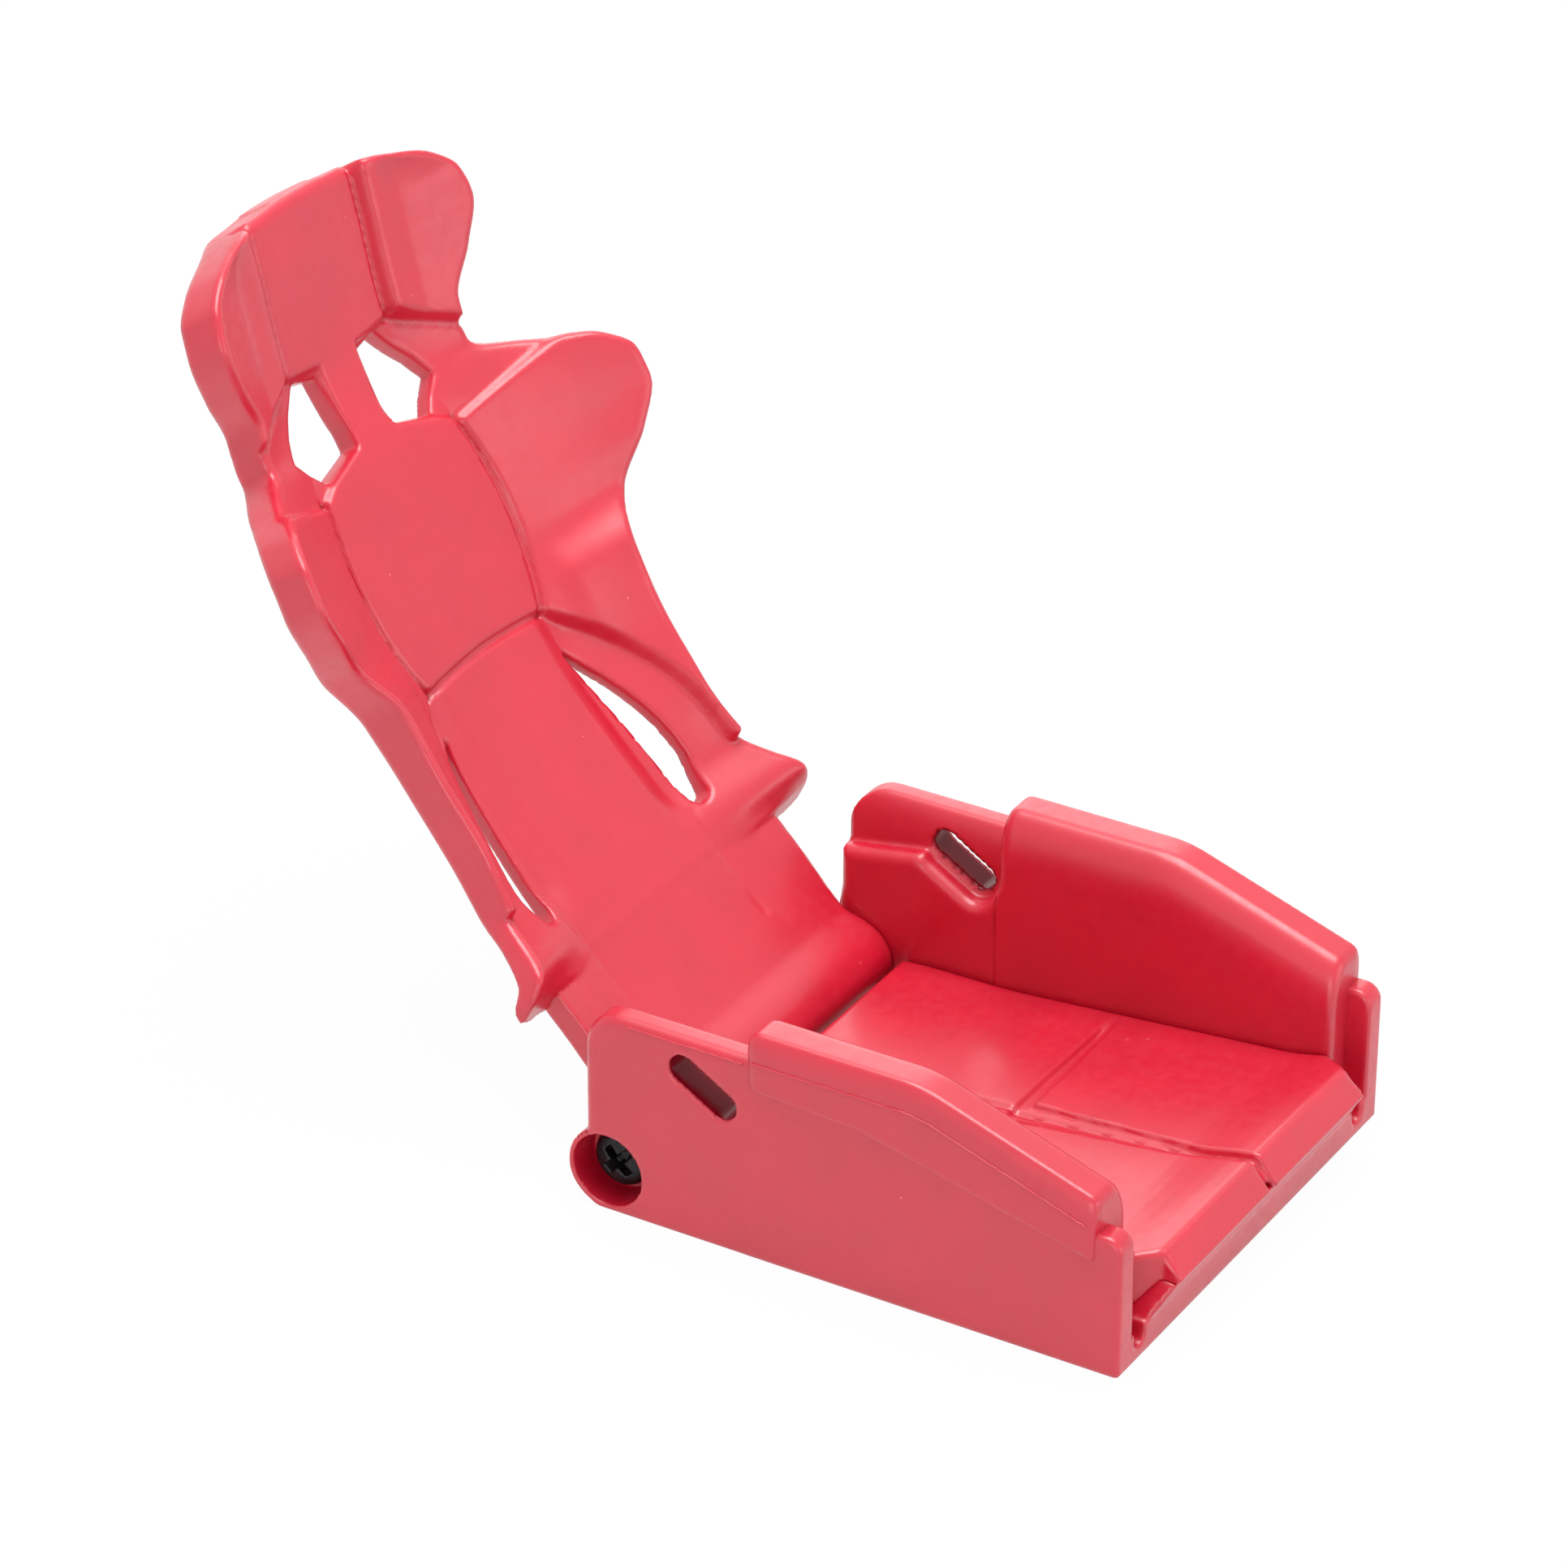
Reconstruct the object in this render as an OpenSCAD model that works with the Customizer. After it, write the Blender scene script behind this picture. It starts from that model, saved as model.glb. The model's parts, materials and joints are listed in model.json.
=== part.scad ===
// Small bucket seat with a reclining back, moulded in rigid plastic.
// +Z is up, the front of the seat faces -Y, and X = 0 is the plane of symmetry.
// The origin lies on the underside, under the middle of the base.

/* [Base] */
// Width over the two side walls
base_w = 50; // [42:1:62]
// Length of the side walls along their foot
base_l = 54; // [50:1:66]
// Height of the side walls behind the bolsters
wall_h = 20.5; // [19:0.5:24]
// Thickness of a side wall behind the bolsters
wall_t = 3.4; // [3:0.1:4]
// Thickness of the front posts
post_t = 2.5; // [2:0.1:3]
// Height of the front posts
post_h = 14; // [13:0.5:15]
// Thickness of the floor
floor_t = 1.8; // [1.4:0.1:2.4]
// Radius of the rear top corners of the walls
corner_r = 4; // [2:0.5:6]
// Height of the front band of the floor
front_band_h = 3; // [2:0.25:4]

/* [Harness slots] */
// Distance of the slot behind the seat front
slot_y = 41.7; // [40:0.1:43]
// Height of the slot centre
slot_z = 16; // [15:0.1:16.5]
// Distance between the centres of the slot's round ends
slot_pitch = 4.7; // [3:0.1:6]
// Width of the slot
slot_w = 3.2; // [2.5:0.1:4]
// Slope of the slot
slot_tilt = 31; // [20:1:40]
// How far the ledge of the cheek stays below the slot
ledge_drop = 0.5; // [0.3:0.1:1]

/* [Bolsters] */
// Height of the bolster at its rear end
bolster_h = 23.1; // [22:0.1:25]
// Height of the bolster at its front end
bolster_front_h = 17.2; // [16.6:0.1:20]
// Where the bolster ends behind the seat front
bolster_end_y = 37.3; // [35:0.1:38]
// Where the bolster's top starts to fall towards the front
bolster_bend_y = 20; // [16:0.5:26]
// How far the bolster stands out from the wall's outer face
bolster_lap = 0.4; // [0.2:0.1:0.8]
// Thickness of the bolster's outer lip
lip_t = 1.1; // [0.9:0.1:1.4]

/* [Cushion] */
// Height of the cushion's top at the front
cushion_front_h = 9.1; // [8.5:0.1:11]
// Height of the cushion's top at the rear
cushion_rear_h = 5; // [4.5:0.1:6]
// Skin thickness over the cored underside
cushion_skin = 1.8; // [1.4:0.1:2.2]
// How far the cushion's top is dished
cushion_dip = 0.7; // [0:0.1:1]
// Distance of the cross groove behind the seat front
groove_y = 23.6; // [18:0.1:30]
// Depth of the cushion's grooves
groove_d = 0.5; // [0.3:0.1:0.8]
// Width of the cross groove
groove_w = 1.4; // [0.8:0.1:2]

/* [Pivot] */
// Distance of the pivot behind the seat front
pivot_y = 51.7; // [50.5:0.1:52.5]
// Height of the pivot over the underside
pivot_z = 4.1; // [4.1:0.1:5]
// Width of the counterbore that takes the screw head
counterbore_d = 7.2; // [6.4:0.1:7.4]
// Depth of the counterbore
counterbore_deep = 3.8; // [3:0.1:4.2]
// Wall left under the screw head
web_t = 1.6; // [1.2:0.1:2]
// Radius of the hinge barrel at the foot of the back
barrel_r = 3.9; // [3.4:0.1:3.9]

/* [Pivot screws] */
// Thread diameter
screw_d = 3; // [2.5:0.5:3]
// Length under the head
screw_l = 10; // [8:1:12]
// Head diameter
head_d = 5.6; // [5:0.1:6]
// Head height
head_h = 2; // [1.6:0.1:2.4]
// Width across the cross recess
recess_w = 3; // [2.4:0.1:3.4]
// Depth of the cross recess
recess_deep = 1.2; // [0.8:0.1:1.4]

/* [Back] */
// Recline of the back from upright
recline = 33; // [5:1:60]
// Height of the back above the pivot
back_h = 89; // [80:0.5:105]
// Half width of the head wings
head_half = 20; // [17:0.5:23]
// Half width of the neck
neck_half = 16; // [14.5:0.5:17]
// Half width of the shoulder wings
shoulder_half = 27.5; // [23:0.5:31]
// Half width at the waist
waist_half = 19.2; // [18:0.1:20.5]
// Half width at the lower tips
tip_half = 24; // [22:0.5:26]
// Thickness of the back's shell
shell_t = 2.8; // [2.2:0.1:3.2]
// Depth of the side face round the wings
side_deep = 5; // [4.2:0.1:6]
// Depth of the flange across the top of the head
flange_h = 2.6; // [2.2:0.1:3]
// Width of the grooves between the pads
seam_w = 0.9; // [0.5:0.1:1.2]
// How far the shell lies below the pads at the neck
pad_step = 0.7; // [0.4:0.1:1]

/* [Fits] */
// Radial play of a screw in its wall
screw_play = 0.08; // [0.03:0.01:0.1]
// Radial play of a screw's thread in the barrel
thread_play = 0.02; // [0.01:0.01:0.05]
// Play under a screw head
head_play = 0.05; // [0.03:0.01:0.1]
// Gap between the barrel's ends and the cheeks
barrel_gap = 0.3; // [0.2:0.05:0.5]
// Gap round each pad
pad_gap = 0.1; // [0.05:0.05:0.2]

/* [Hidden] */
$fn = 48;
red = [0.86, 0.2, 0.25];
pad_red = [0.84, 0.17, 0.22];
black = [0.05, 0.05, 0.055];
half_w = base_w / 2;
cheek_x = half_w - counterbore_deep - web_t;
boss_r = pivot_z;
lip_x = half_w + bolster_lap - lip_t;
tongue_x = lip_x - pad_gap;
tongue_in = half_w - post_t;
cushion_half = cheek_x - pad_gap;
cushion_rear_y = pivot_y - barrel_r - 1;
back_slope = (cushion_front_h - cushion_rear_h) / cushion_rear_y;
slot_r = slot_w / 2;
slot_run = [cos(slot_tilt), sin(slot_tilt)];
slot_drop = [sin(slot_tilt), -cos(slot_tilt)];
slot_low = [slot_y, slot_z] - slot_run * slot_pitch / 2;
slot_high = [slot_y, slot_z] + slot_run * slot_pitch / 2;
notch_r = 0.95;
notch_x = tongue_in - notch_r - 0.6;
lap_z = wall_h - 3.1;
lap_front_z = lap_z - 6.2;
lap_bend_y = bolster_bend_y + 5.7;
pad_front_y = 2.4;
nose_half = tongue_in - 3.7;
nose_z = cushion_front_h - 3 + pad_gap;
foot_half = cheek_x - barrel_gap - 0.3;

// ---------- shared helpers ----------
function ring_faces(n, m) = [for (i = [0 : n - 2], j = [0 : m - 1], k = [0, 1])
    let (a = i * m + j, b = i * m + (j + 1) % m, c = a + m, d = b + m)
    k == 0 ? [a, b, d] : [a, d, c]];

// Skin over a stack of closed rings that all have the same number of points
module loft(rings) {
    m = len(rings[0]);
    n = len(rings);
    polyhedron([for (r = rings, p = r) p],
        concat(ring_faces(n, m), [[for (j = [m - 1 : -1 : 0]) j]], [[for (j = [0 : m - 1]) (n - 1) * m + j]]),
        convexity = 8);
}

// Moves a piece drawn from the front edge of the base into the frame of the whole seat
module seated() {
    translate([0, -base_l / 2, 0]) children();
}

module mirrored() {
    children();
    mirror([1, 0, 0]) children();
}

// Cylinder along X that starts at x0
module rod(r, x0, h) {
    translate([x0, 0, 0]) rotate([0, 90, 0]) cylinder(r = r, h = h);
}

module at_pivot() {
    translate([0, pivot_y, pivot_z]) children();
}

// Outline in the Y-Z plane, given as [y, z], extruded along X from x0 to x1
module side_plate(x0, x1) {
    translate([x0, 0, 0]) rotate([90, 0, 90]) linear_extrude(x1 - x0) children();
}

// ---------- base ----------
function arc(c, r, a0, a1, n) = [for (i = [0 : n]) let (a = a0 + (a1 - a0) * i / n) c + r * [cos(a), sin(a)]];

// Wall outline from the foot, round the post, along the step under the bolster and round the rear
module wall_outline() {
    polygon(concat(
        [[1, 0], [0, 1], [0, post_h - 1.6]],
        arc([1.6, post_h - 1.6], 1.6, 180, 90, 8),
        [[pad_front_y - pad_gap, post_h], [pad_front_y - pad_gap, lap_front_z]],
        [[lap_bend_y, lap_z - 0.5], [bolster_end_y + pad_gap, lap_z], [bolster_end_y + pad_gap, wall_h]],
        arc([base_l - corner_r, wall_h - corner_r], corner_r, 90, 0, 12),
        [[base_l, pivot_z + 3], [base_l, 0]]));
}

// Inner tongue of the wall that carries the bolster
module tongue_outline() {
    near = pad_front_y + 1.6;
    far = bolster_end_y + pad_gap;
    polygon(concat([[1, 0], [1, floor_t], [near, floor_t]], [for (y = [near, bolster_bend_y, far]) [y, tongue_top(y)]],
        [[far, 0]]));
}

module slot_cut() {
    translate([0, slot_y, slot_z]) rotate([slot_tilt, 0, 0]) {
        for (s = [-1, 1]) translate([0, s * slot_pitch / 2, 0]) rod(slot_r, half_w - 8, 10);
        translate([half_w - 8, -slot_pitch / 2, -slot_r]) cube([10, slot_pitch, slot_w]);
    }
}

// Thick lower part of the wall that holds the pivot, with a ledge that follows the lower side of the slot
module cheek_outline() {
    r = slot_r + ledge_drop;
    far = slot_high + slot_drop * r;
    polygon(concat([[bolster_end_y + pad_gap, 0], [bolster_end_y + pad_gap, slot_low[1]]],
        arc(slot_low, r, 188, 270 + slot_tilt, 8),
        [far, far + [0.7, 0.7], [base_l, far[1] - 0.8], [base_l, 0]]));
}

// Section of the cheek across the seat, leaning outward above the cushion as the bolster's inner face does
module cheek_section() {
    rotate([90, 0, 0]) translate([0, 0, -2 * base_l]) linear_extrude(2 * base_l) polygon([[cheek_x, -1],
        [cheek_x, cushion_front_h - 1], [half_w - wall_t, wall_h], [half_w, wall_h], [half_w, -1]]);
}

module wall() {
    difference() {
        union() {
            side_plate(tongue_x, half_w) wall_outline();
            side_plate(tongue_in, tongue_x + 0.01) {
                intersection() {
                    wall_outline();
                    translate([-1, -1]) square([pad_front_y + 1.7, wall_h + 2]);
                }
                tongue_outline();
            }
            side_plate(half_w - wall_t, tongue_x + 0.01) intersection() {
                wall_outline();
                translate([bolster_end_y + pad_gap, -1]) square([base_l, wall_h + 2]);
            }
            intersection() {
                side_plate(cheek_x - 1, half_w - wall_t + 0.01) cheek_outline();
                cheek_section();
            }
            at_pivot() rod(boss_r, cheek_x, half_w - cheek_x);
        }
        // rear foot follows the round of the boss
        translate([cheek_x - 1, pivot_y, -1]) cube([half_w, base_l, pivot_z + 1]);
        slot_cut();
        pivot_cut();
    }
    difference() {
        at_pivot() rod(boss_r, cheek_x, half_w - cheek_x);
        pivot_cut();
    }
}

module pivot_cut() {
    at_pivot() rod(counterbore_d / 2, half_w - counterbore_deep, 20);
    at_pivot() rod(screw_d / 2 + screw_play, 0, half_w);
}

// Floor with the band across its front, which has a round-bottomed notch beside each post
module floor_plate() {
    difference() {
        union() {
            translate([-tongue_in - 0.01, 0.6, 0]) cube([2 * tongue_in + 0.02, cushion_rear_y - 0.6, floor_t]);
            side_plate(-tongue_in - 0.01, tongue_in + 0.01)
                polygon([[0, 0.4], [0, front_band_h], [1.8, front_band_h], [1.8, 0], [0.4, 0]]);
        }
        for (s = [-1, 1]) translate([s * notch_x, -1, notch_r + 1.2]) {
            rotate([-90, 0, 0]) cylinder(r = notch_r, h = 3.2);
            translate([-notch_r, 0, 0]) cube([2 * notch_r, 3.2, front_band_h]);
        }
    }
}

// Lip that leans out from the band under the cushion's nose
module front_lip() {
    top = cushion_front_h - 3;
    foot = front_band_h - 0.5;
    side_plate(-nose_half, nose_half)
        polygon([[0.4, foot], [0, front_band_h], [-1.7, top], [-0.2, top], [1.6, front_band_h], [1.6, foot]]);
}

module seat_base() {
    color(red) seated() union() {
        mirrored() wall();
        floor_plate();
        front_lip();
    }
}

// ---------- cushion ----------
// The top falls to the rear, dished behind the nose and flat again at its rear end
function dish(y) = cushion_dip * (1 - cos(180 * min(y / 7, (cushion_rear_y - y) / 14, 1))) / 2;
function top_z(y) = cushion_front_h - back_slope * y - dish(y);
top_stations = concat([for (i = [1 : 8]) 0.3 + i * 0.84], [for (i = [0 : 7]) cushion_rear_y - 14 + i * 1.9]);

// Nose and top of the cushion in profile, sunk by d
function top_line(d) = concat([[d - 1.9, nose_z], [d - 2.1, nose_z + 0.5], [-0.4, cushion_front_h - 0.2 - d],
    [0.3, cushion_front_h - d]], [for (y = top_stations) [y, top_z(y) - d]]);

module cushion_side() {
    polygon(concat([[2.2, floor_t + pad_gap], [2.2, front_band_h + pad_gap], [-0.1, nose_z]], top_line(0),
        [[cushion_rear_y, cushion_rear_h - 0.6], [cushion_rear_y, floor_t + pad_gap]]));
}

// All that lies over the floor of the grooves
module over_groove() {
    polygon(concat([[-5, wall_h], [-5, nose_z - 0.3], [groove_d - 1.9, nose_z - 0.3]], top_line(groove_d),
        [[cushion_rear_y + 1, cushion_rear_h], [cushion_rear_y + 1, wall_h]]));
}

// Cross groove and the groove that narrows from it towards the nose
module groove_outline() {
    side = cushion_half + 1;
    front_y = groove_y - groove_w / 2;
    half = [[groove_w, front_y - 0.2], [groove_w * 0.75, groove_y * 0.68], [groove_w * 0.6, groove_y * 0.42],
        [groove_w * 0.33, groove_y * 0.2], [groove_w * 0.33, -4]];
    edge = concat([[side, groove_y + groove_w / 3], [side, groove_y - groove_w / 3], [6, front_y]], half);
    polygon(concat(edge, [for (i = [len(edge) - 1 : -1 : 0]) [-edge[i][0], edge[i][1]]]));
}

// Pocket in the cored underside, from x0 and y0 to x1 and y1
module pocket(x0, x1, y0, y1) {
    intersection() {
        translate([x0, y0, 0]) cube([x1 - x0, y1 - y0, wall_h]);
        side_plate(x0, x1) polygon([[0, 0], [0, cushion_front_h - cushion_dip - cushion_skin - groove_d],
            [cushion_rear_y, cushion_rear_h - cushion_dip - cushion_skin - groove_d], [cushion_rear_y, 0]]);
    }
}

module seat_cushion() {
    tip = nose_half - 1.2;
    color(pad_red) seated() difference() {
        intersection() {
            side_plate(-cushion_half, cushion_half) cushion_side();
            linear_extrude(wall_h) polygon([[-cushion_half, cushion_rear_y], [-cushion_half, 2.6], [-tip, -0.2],
                [-tip, -4], [tip, -4], [tip, -0.2], [cushion_half, 2.6], [cushion_half, cushion_rear_y]]);
        }
        intersection() {
            linear_extrude(wall_h) groove_outline();
            side_plate(-cushion_half - 2, cushion_half + 2) over_groove();
        }
        for (row = [[4.5, groove_y - 2], [groove_y + 1, cushion_rear_y - 2]]) {
            pocket(1, cushion_half - 1.8, row[0], row[1]);
            pocket(1.8 - cushion_half, -1, row[0], row[1]);
        }
    }
}

// ---------- bolsters ----------
function fall(y) = y >= bolster_bend_y + 2 ? 0 : y <= bolster_bend_y - 2 ? bolster_bend_y - y
    : pow(bolster_bend_y + 2 - y, 2) / 8;
pad_fall = (bolster_h - bolster_front_h) / (bolster_bend_y - pad_front_y);
function pad_top(y) = bolster_h - pad_fall * fall(y);
function lap_line(y) = lookup(y, [[pad_front_y, lap_front_z + pad_gap], [lap_bend_y, lap_z - 0.5 + pad_gap],
    [bolster_end_y, lap_z + pad_gap]]);
function tongue_top(y) = lookup(y, [[pad_front_y + 1.6, bolster_front_h - 2.4],
    [bolster_bend_y, bolster_h - 2.6]]);

// Cross-section of the pad: an upturned channel with a full round top
function pad_ring(y, k) = let (
        top = pad_top(y) - k * 1.5,
        out = half_w + bolster_lap - k * 0.7,
        inn = tongue_in - 0.8 + k * 0.4,
        mid = (out + inn) / 2,
        r = (out - inn) / 2,
        lap = lap_line(y),
        roof = min(tongue_top(max(y, pad_front_y + 1.6)) + pad_gap, top - 0.8),
        foot = floor_t + pad_gap)
    concat(
        [[lip_x, y, lap], [out - 0.2, y, lap], [out, y, lap + 0.3], [out, y, top - 1.6]],
        [for (a = [20 : 20 : 160]) [mid + r * cos(a), y, top - 1.6 + 1.6 * sin(a)]],
        [[inn, y, top - 1.6], [inn - 0.4, y, top - 5], [cheek_x + k * 0.3, y, cushion_front_h - 1],
            [cheek_x + k * 0.3, y, foot], [tongue_in - pad_gap, y, foot]],
        [[tongue_in - pad_gap, y, roof], [lip_x, y, roof]]);

module bolster() {
    near = pad_front_y + 1.6;
    ys = concat([for (o = [0, 0.35, 0.9]) pad_front_y + o],
        [for (i = [0 : 7]) near + (bolster_bend_y - 2 - near) * i / 7],
        [for (o = [-1, 0, 1, 2, 6]) bolster_bend_y + o],
        [for (o = [6, 1.6, 0.7, 0]) bolster_end_y - o]);
    loft([for (y = ys) pad_ring(y, max(0, 1 - (y - pad_front_y) / 1.2, 1 - (bolster_end_y - y) / 1.6))]);
}

module bolster_right() {
    color(pad_red) seated() mirror([1, 0, 0]) bolster();
}

module bolster_left() {
    color(pad_red) seated() bolster();
}

// ---------- back ----------
// Control rows up the back: [height, half width, rim, centre, half width of the flat, depth of the side face].
// Rim and centre are measured forward from the plane through the pivot.
back_rows = [
    [0, foot_half, 3, 3, 11.5, shell_t],
    [3.4, foot_half, 2, 2, 11.5, shell_t],
    [6, foot_half, 1.3, 1, 11.5, shell_t],
    [11, foot_half, 0.5, -0.6, 11.3, shell_t],
    [15.4, foot_half, -0.4, -1.6, 11, shell_t],
    [15.8, tip_half, 1.4, -1.7, 11, side_deep],
    [18, tip_half - 0.8, 2.6, -2.1, 10.8, side_deep],
    [21, tip_half - 2.6, 1.6, -2.6, 10.5, side_deep],
    [24, waist_half + 0.8, 0.6, -3.2, 10.3, side_deep],
    [30, waist_half - 0.2, 0.3, -4.3, 10, side_deep],
    [38, waist_half - 0.1, -0.1, -5.5, 9.6, side_deep],
    [44, waist_half + 0.3, -0.3, -5.7, 9.6, side_deep],
    [49, waist_half + 2.8, 0.2, -5.5, 10.8, side_deep],
    [53, shoulder_half - 2.2, 3, -5.2, 11.4, side_deep],
    [57, shoulder_half, 4.9, -4.9, 11.5, side_deep],
    [60, shoulder_half - 0.2, 5.2, -4.7, 11.2, side_deep],
    [63, shoulder_half - 2.4, 3.8, -4.6, 10.6, side_deep],
    [65.5, neck_half + 4.6, 0.2, -4.7, 9.8, side_deep],
    [68.3, neck_half + 0.2, -2.6, -4.9, 9, side_deep],
    [72, neck_half + 0.1, -1.8, -4.6, 8.6, side_deep],
    [76, head_half - 1.6, 0.4, -3.6, 8.3, side_deep],
    [80, head_half, 2.4, -2.3, 8.3, side_deep],
    [83, head_half - 0.7, 3, -1.2, 8.3, side_deep],
    [85.5, head_half - 3.4, 3, -0.4, 8.3, side_deep],
    [87.4, head_half - 7.2, 2.5, 0.2, head_half - 12.5, side_deep + 0.2],
    [88.3, head_half - 10.2, 1.5, 0.1, head_half - 15.5, side_deep - 0.2],
    [89, head_half - 12.8, 0, -0.8, head_half - 18.1, side_deep - 1]];
row_n = len(back_rows);
tall = back_h / back_rows[row_n - 1][0];
function rh(i) = back_rows[i][0] * tall;
function slope(c, i) = (back_rows[i + 1][c] - back_rows[i][c]) / (rh(i + 1) - rh(i));
function tangent(c, i) = i <= 0 || i >= row_n - 1 || slope(c, i - 1) * slope(c, i) <= 0 ? 0
    : 2 * slope(c, i - 1) * slope(c, i) / (slope(c, i - 1) + slope(c, i));
function row_of(u, i = 0) = i >= row_n - 2 || u < rh(i + 1) ? i : row_of(u, i + 1);
function blend(c, u) = let (i = row_of(u), h = rh(i + 1) - rh(i), t = (u - rh(i)) / h)
    (2 * t * t * t - 3 * t * t + 1) * back_rows[i][c] + (t * t * t - 2 * t * t + t) * h * tangent(c, i)
    + (3 * t * t - 2 * t * t * t) * back_rows[i + 1][c] + (t * t * t - t * t) * h * tangent(c, i + 1);

// Front face of the back at width x, from the row values [half, rim, centre, flat, depth]
function row_at(u) = [for (c = [1 : 5]) blend(c, u)];
function front(x, w) = let (t = max(0, (x - w[3]) / (w[0] - w[3]))) w[2] + (w[1] - w[2]) * t * (0.7 + 0.3 * t);
function face_x(w) = concat([w[3] / 2, w[3] - 0.1], [for (t = [0.2, 0.42, 0.64]) w[3] + (w[0] - w[3]) * t],
    [w[0] - 1.1]);
// The tips' lower edge leans, and the lean fades out above them
function lean(u) = u < 15.5 || u > 30 ? 0 : 0.6 * (30 - u) / 14.5;

// The shell is open behind the pads, and at the top a flange as deep as the side face closes it
function closed(u) = max(0, min(1, (u - back_h + flange_h) / 0.4));
function rear(x, w, u) = front(x, w) - shell_t - (w[4] - shell_t) * closed(u);
function half_ring(u) = let (w = row_at(u), h = w[0], s = h - 2.2, deep = w[1] - w[4], xs = face_x(w))
    concat([[0, w[2]]], [for (x = xs) [x, front(x, w)]],
        [[h - 0.4, front(h - 0.4, w) - 0.1], [h, w[1] - 0.6], [h + 0.2, w[1] - w[4] * 0.55], [h, deep + 0.3],
            [h - 0.4, deep], [s, deep], [s - 0.5, min(rear(s - 0.5, w, u), deep + 3)]],
        [for (i = [3 : -1 : 0]) [xs[i], rear(xs[i], w, u)]]);
function back_ring(u) = let (r = half_ring(u), n = len(r), w = row_at(u),
        full = concat(r, [[0, rear(0, w, u)]], [for (i = [n - 1 : -1 : 1]) [-r[i][0], r[i][1]]]))
    [for (i = [len(full) - 1 : -1 : 0]) let (p = full[i]) [p[0], -p[1], u + lean(u) * p[1]]];
function steps(a, b) = let (n = max(1, round((b - a) / 1.6))) [for (k = [0 : n - 1]) a + (b - a) * k / n];
function stations() = concat([for (i = [0 : row_n - 4]) each steps(rh(i), rh(i + 1))],
    [back_h - flange_h, back_h - flange_h + 0.4, rh(row_n - 3), rh(row_n - 2), back_h]);

// Groove along a path of [x, height] points, sunk in the front face
function seam_ring(p, q) = let (v = front(abs(p[0]), row_at(p[1])), d = (q - p) / norm(q - p))
    [for (a = [300 : -60 : 0]) let (s = seam_w / 2 * cos(a), deep = v + 0.1 + seam_w * 0.55 * sin(a))
        [p[0] - d[1] * s, -deep, p[1] + d[0] * s]];
module seam(path) {
    way = [for (p = path) [p[0], p[1] * tall]];
    n = len(way) - 1;
    ahead = concat([for (i = [1 : n]) way[i]], [2 * way[n] - way[n - 1]]);
    loft([for (i = [0 : n]) seam_ring(way[i], ahead[i])]);
}

// Space over the front face, sunk below it by the step of the pads, kept within the outline it is given
function sunk_ring(u) = let (w = row_at(u), xs = concat([-1], face_x(w), [w[0] + 2]), n = len(xs))
    concat([for (x = xs) [x, pad_step - front(x, w), u]],
        [for (i = [n - 1 : -1 : 0]) [xs[i], -4 - front(xs[i], w), u]]);
module sunk_space() {
    intersection() {
        through(60) children();
        loft([for (u = stations()) sunk_ring(u)]);
    }
}
function line(a, b, n) = [for (i = [0 : n]) a + (b - a) * i / n];
function bend(a, m, b, n) = [for (i = [0 : n]) let (t = i / n, s = 1 - t) a * s * s + 2 * m * s * t + b * t * t];

module through(depth = 20) {
    rotate([90, 0, 0]) linear_extrude(depth, center = true) scale([1, tall]) children();
}

module neck_outline() {
    polygon([[8.2, 74.3], [5, 74], [4.2, 71], [4.2, 66.5], [5.5, 64.2], [8.4, 63.2], [10.35, 62.5], [24, 65.2],
        [30, 66.4], [30, 68], [22, 67.6], [17.4, 69.2]]);
}

module belt_hole() {
    through() offset(r = 0.7) offset(delta = -0.7)
        polygon([[2.7, 73.4], [6.3, 73.8], [9.9, 69.4], [11, 67.3], [8.2, 64.1], [2, 65.6], [1.9, 67.6]]);
}

module side_slit() {
    through() polygon(concat(bend([9.7, 38.6], [11.6, 31], [12, 21], 8),
        bend([12.6, 20.2], [13.6, 20], [14.2, 20.8], 3), bend([14.9, 24.5], [14.6, 31.5], [9.9, 38.8], 8)));
}

module back_shell() {
    difference() {
        loft([for (u = stations()) back_ring(u)]);
        mirrored() {
            belt_hole();
            side_slit();
            sunk_space() neck_outline();
            seam(line([8.3, 87.2], [8.3, 73.9], 12));
            seam(concat(bend([10.45, 63], [13.4, 52], [9.4, 43], 10),
                bend([9.5, 42.9], [17.4, 36], [18.6, 24.4], 12)));
        }
        seam(bend([-9.1, 43.1], [0, 44.4], [9.1, 43.1], 9));
    }
}

module hinge_space() {
    translate([0, pivot_y, pivot_z]) rotate([-recline, 0, 0]) children();
}

module backrest() {
    barrel_half = cheek_x - barrel_gap;
    color(red) seated() difference() {
        union() {
            hinge_space() resize([0, 0, 0]) intersection() {
                back_shell();
                translate([-40, -20, 0]) cube([80, 40, back_h + 10]);
            }
            at_pivot() rod(barrel_r, -barrel_half, 2 * barrel_half);
        }
        at_pivot() mirrored() rod(screw_d / 2 + thread_play, half_w - counterbore_deep - screw_l - 0.4, 30);
    }
}

// ---------- screws ----------
module pivot_screw() {
    seat_x = half_w - counterbore_deep + head_play;
    difference() {
        union() {
            rod(head_d / 2, seat_x, head_h * 0.55);
            translate([seat_x + head_h * 0.55, 0, 0]) rotate([0, 90, 0])
                cylinder(d1 = head_d, d2 = head_d * 0.72, h = head_h * 0.45);
            rod(screw_d / 2, seat_x - screw_l, screw_l + 0.01);
        }
        for (a = [45, 135]) translate([seat_x + head_h, 0, 0]) rotate([a, 0, 0])
            cube([2 * recess_deep, recess_w, 0.6], center = true);
    }
}

module pivot_screw_left() {
    color(black) seated() at_pivot() pivot_screw();
}

module pivot_screw_right() {
    color(black) seated() at_pivot() mirror([1, 0, 0]) pivot_screw();
}

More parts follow.
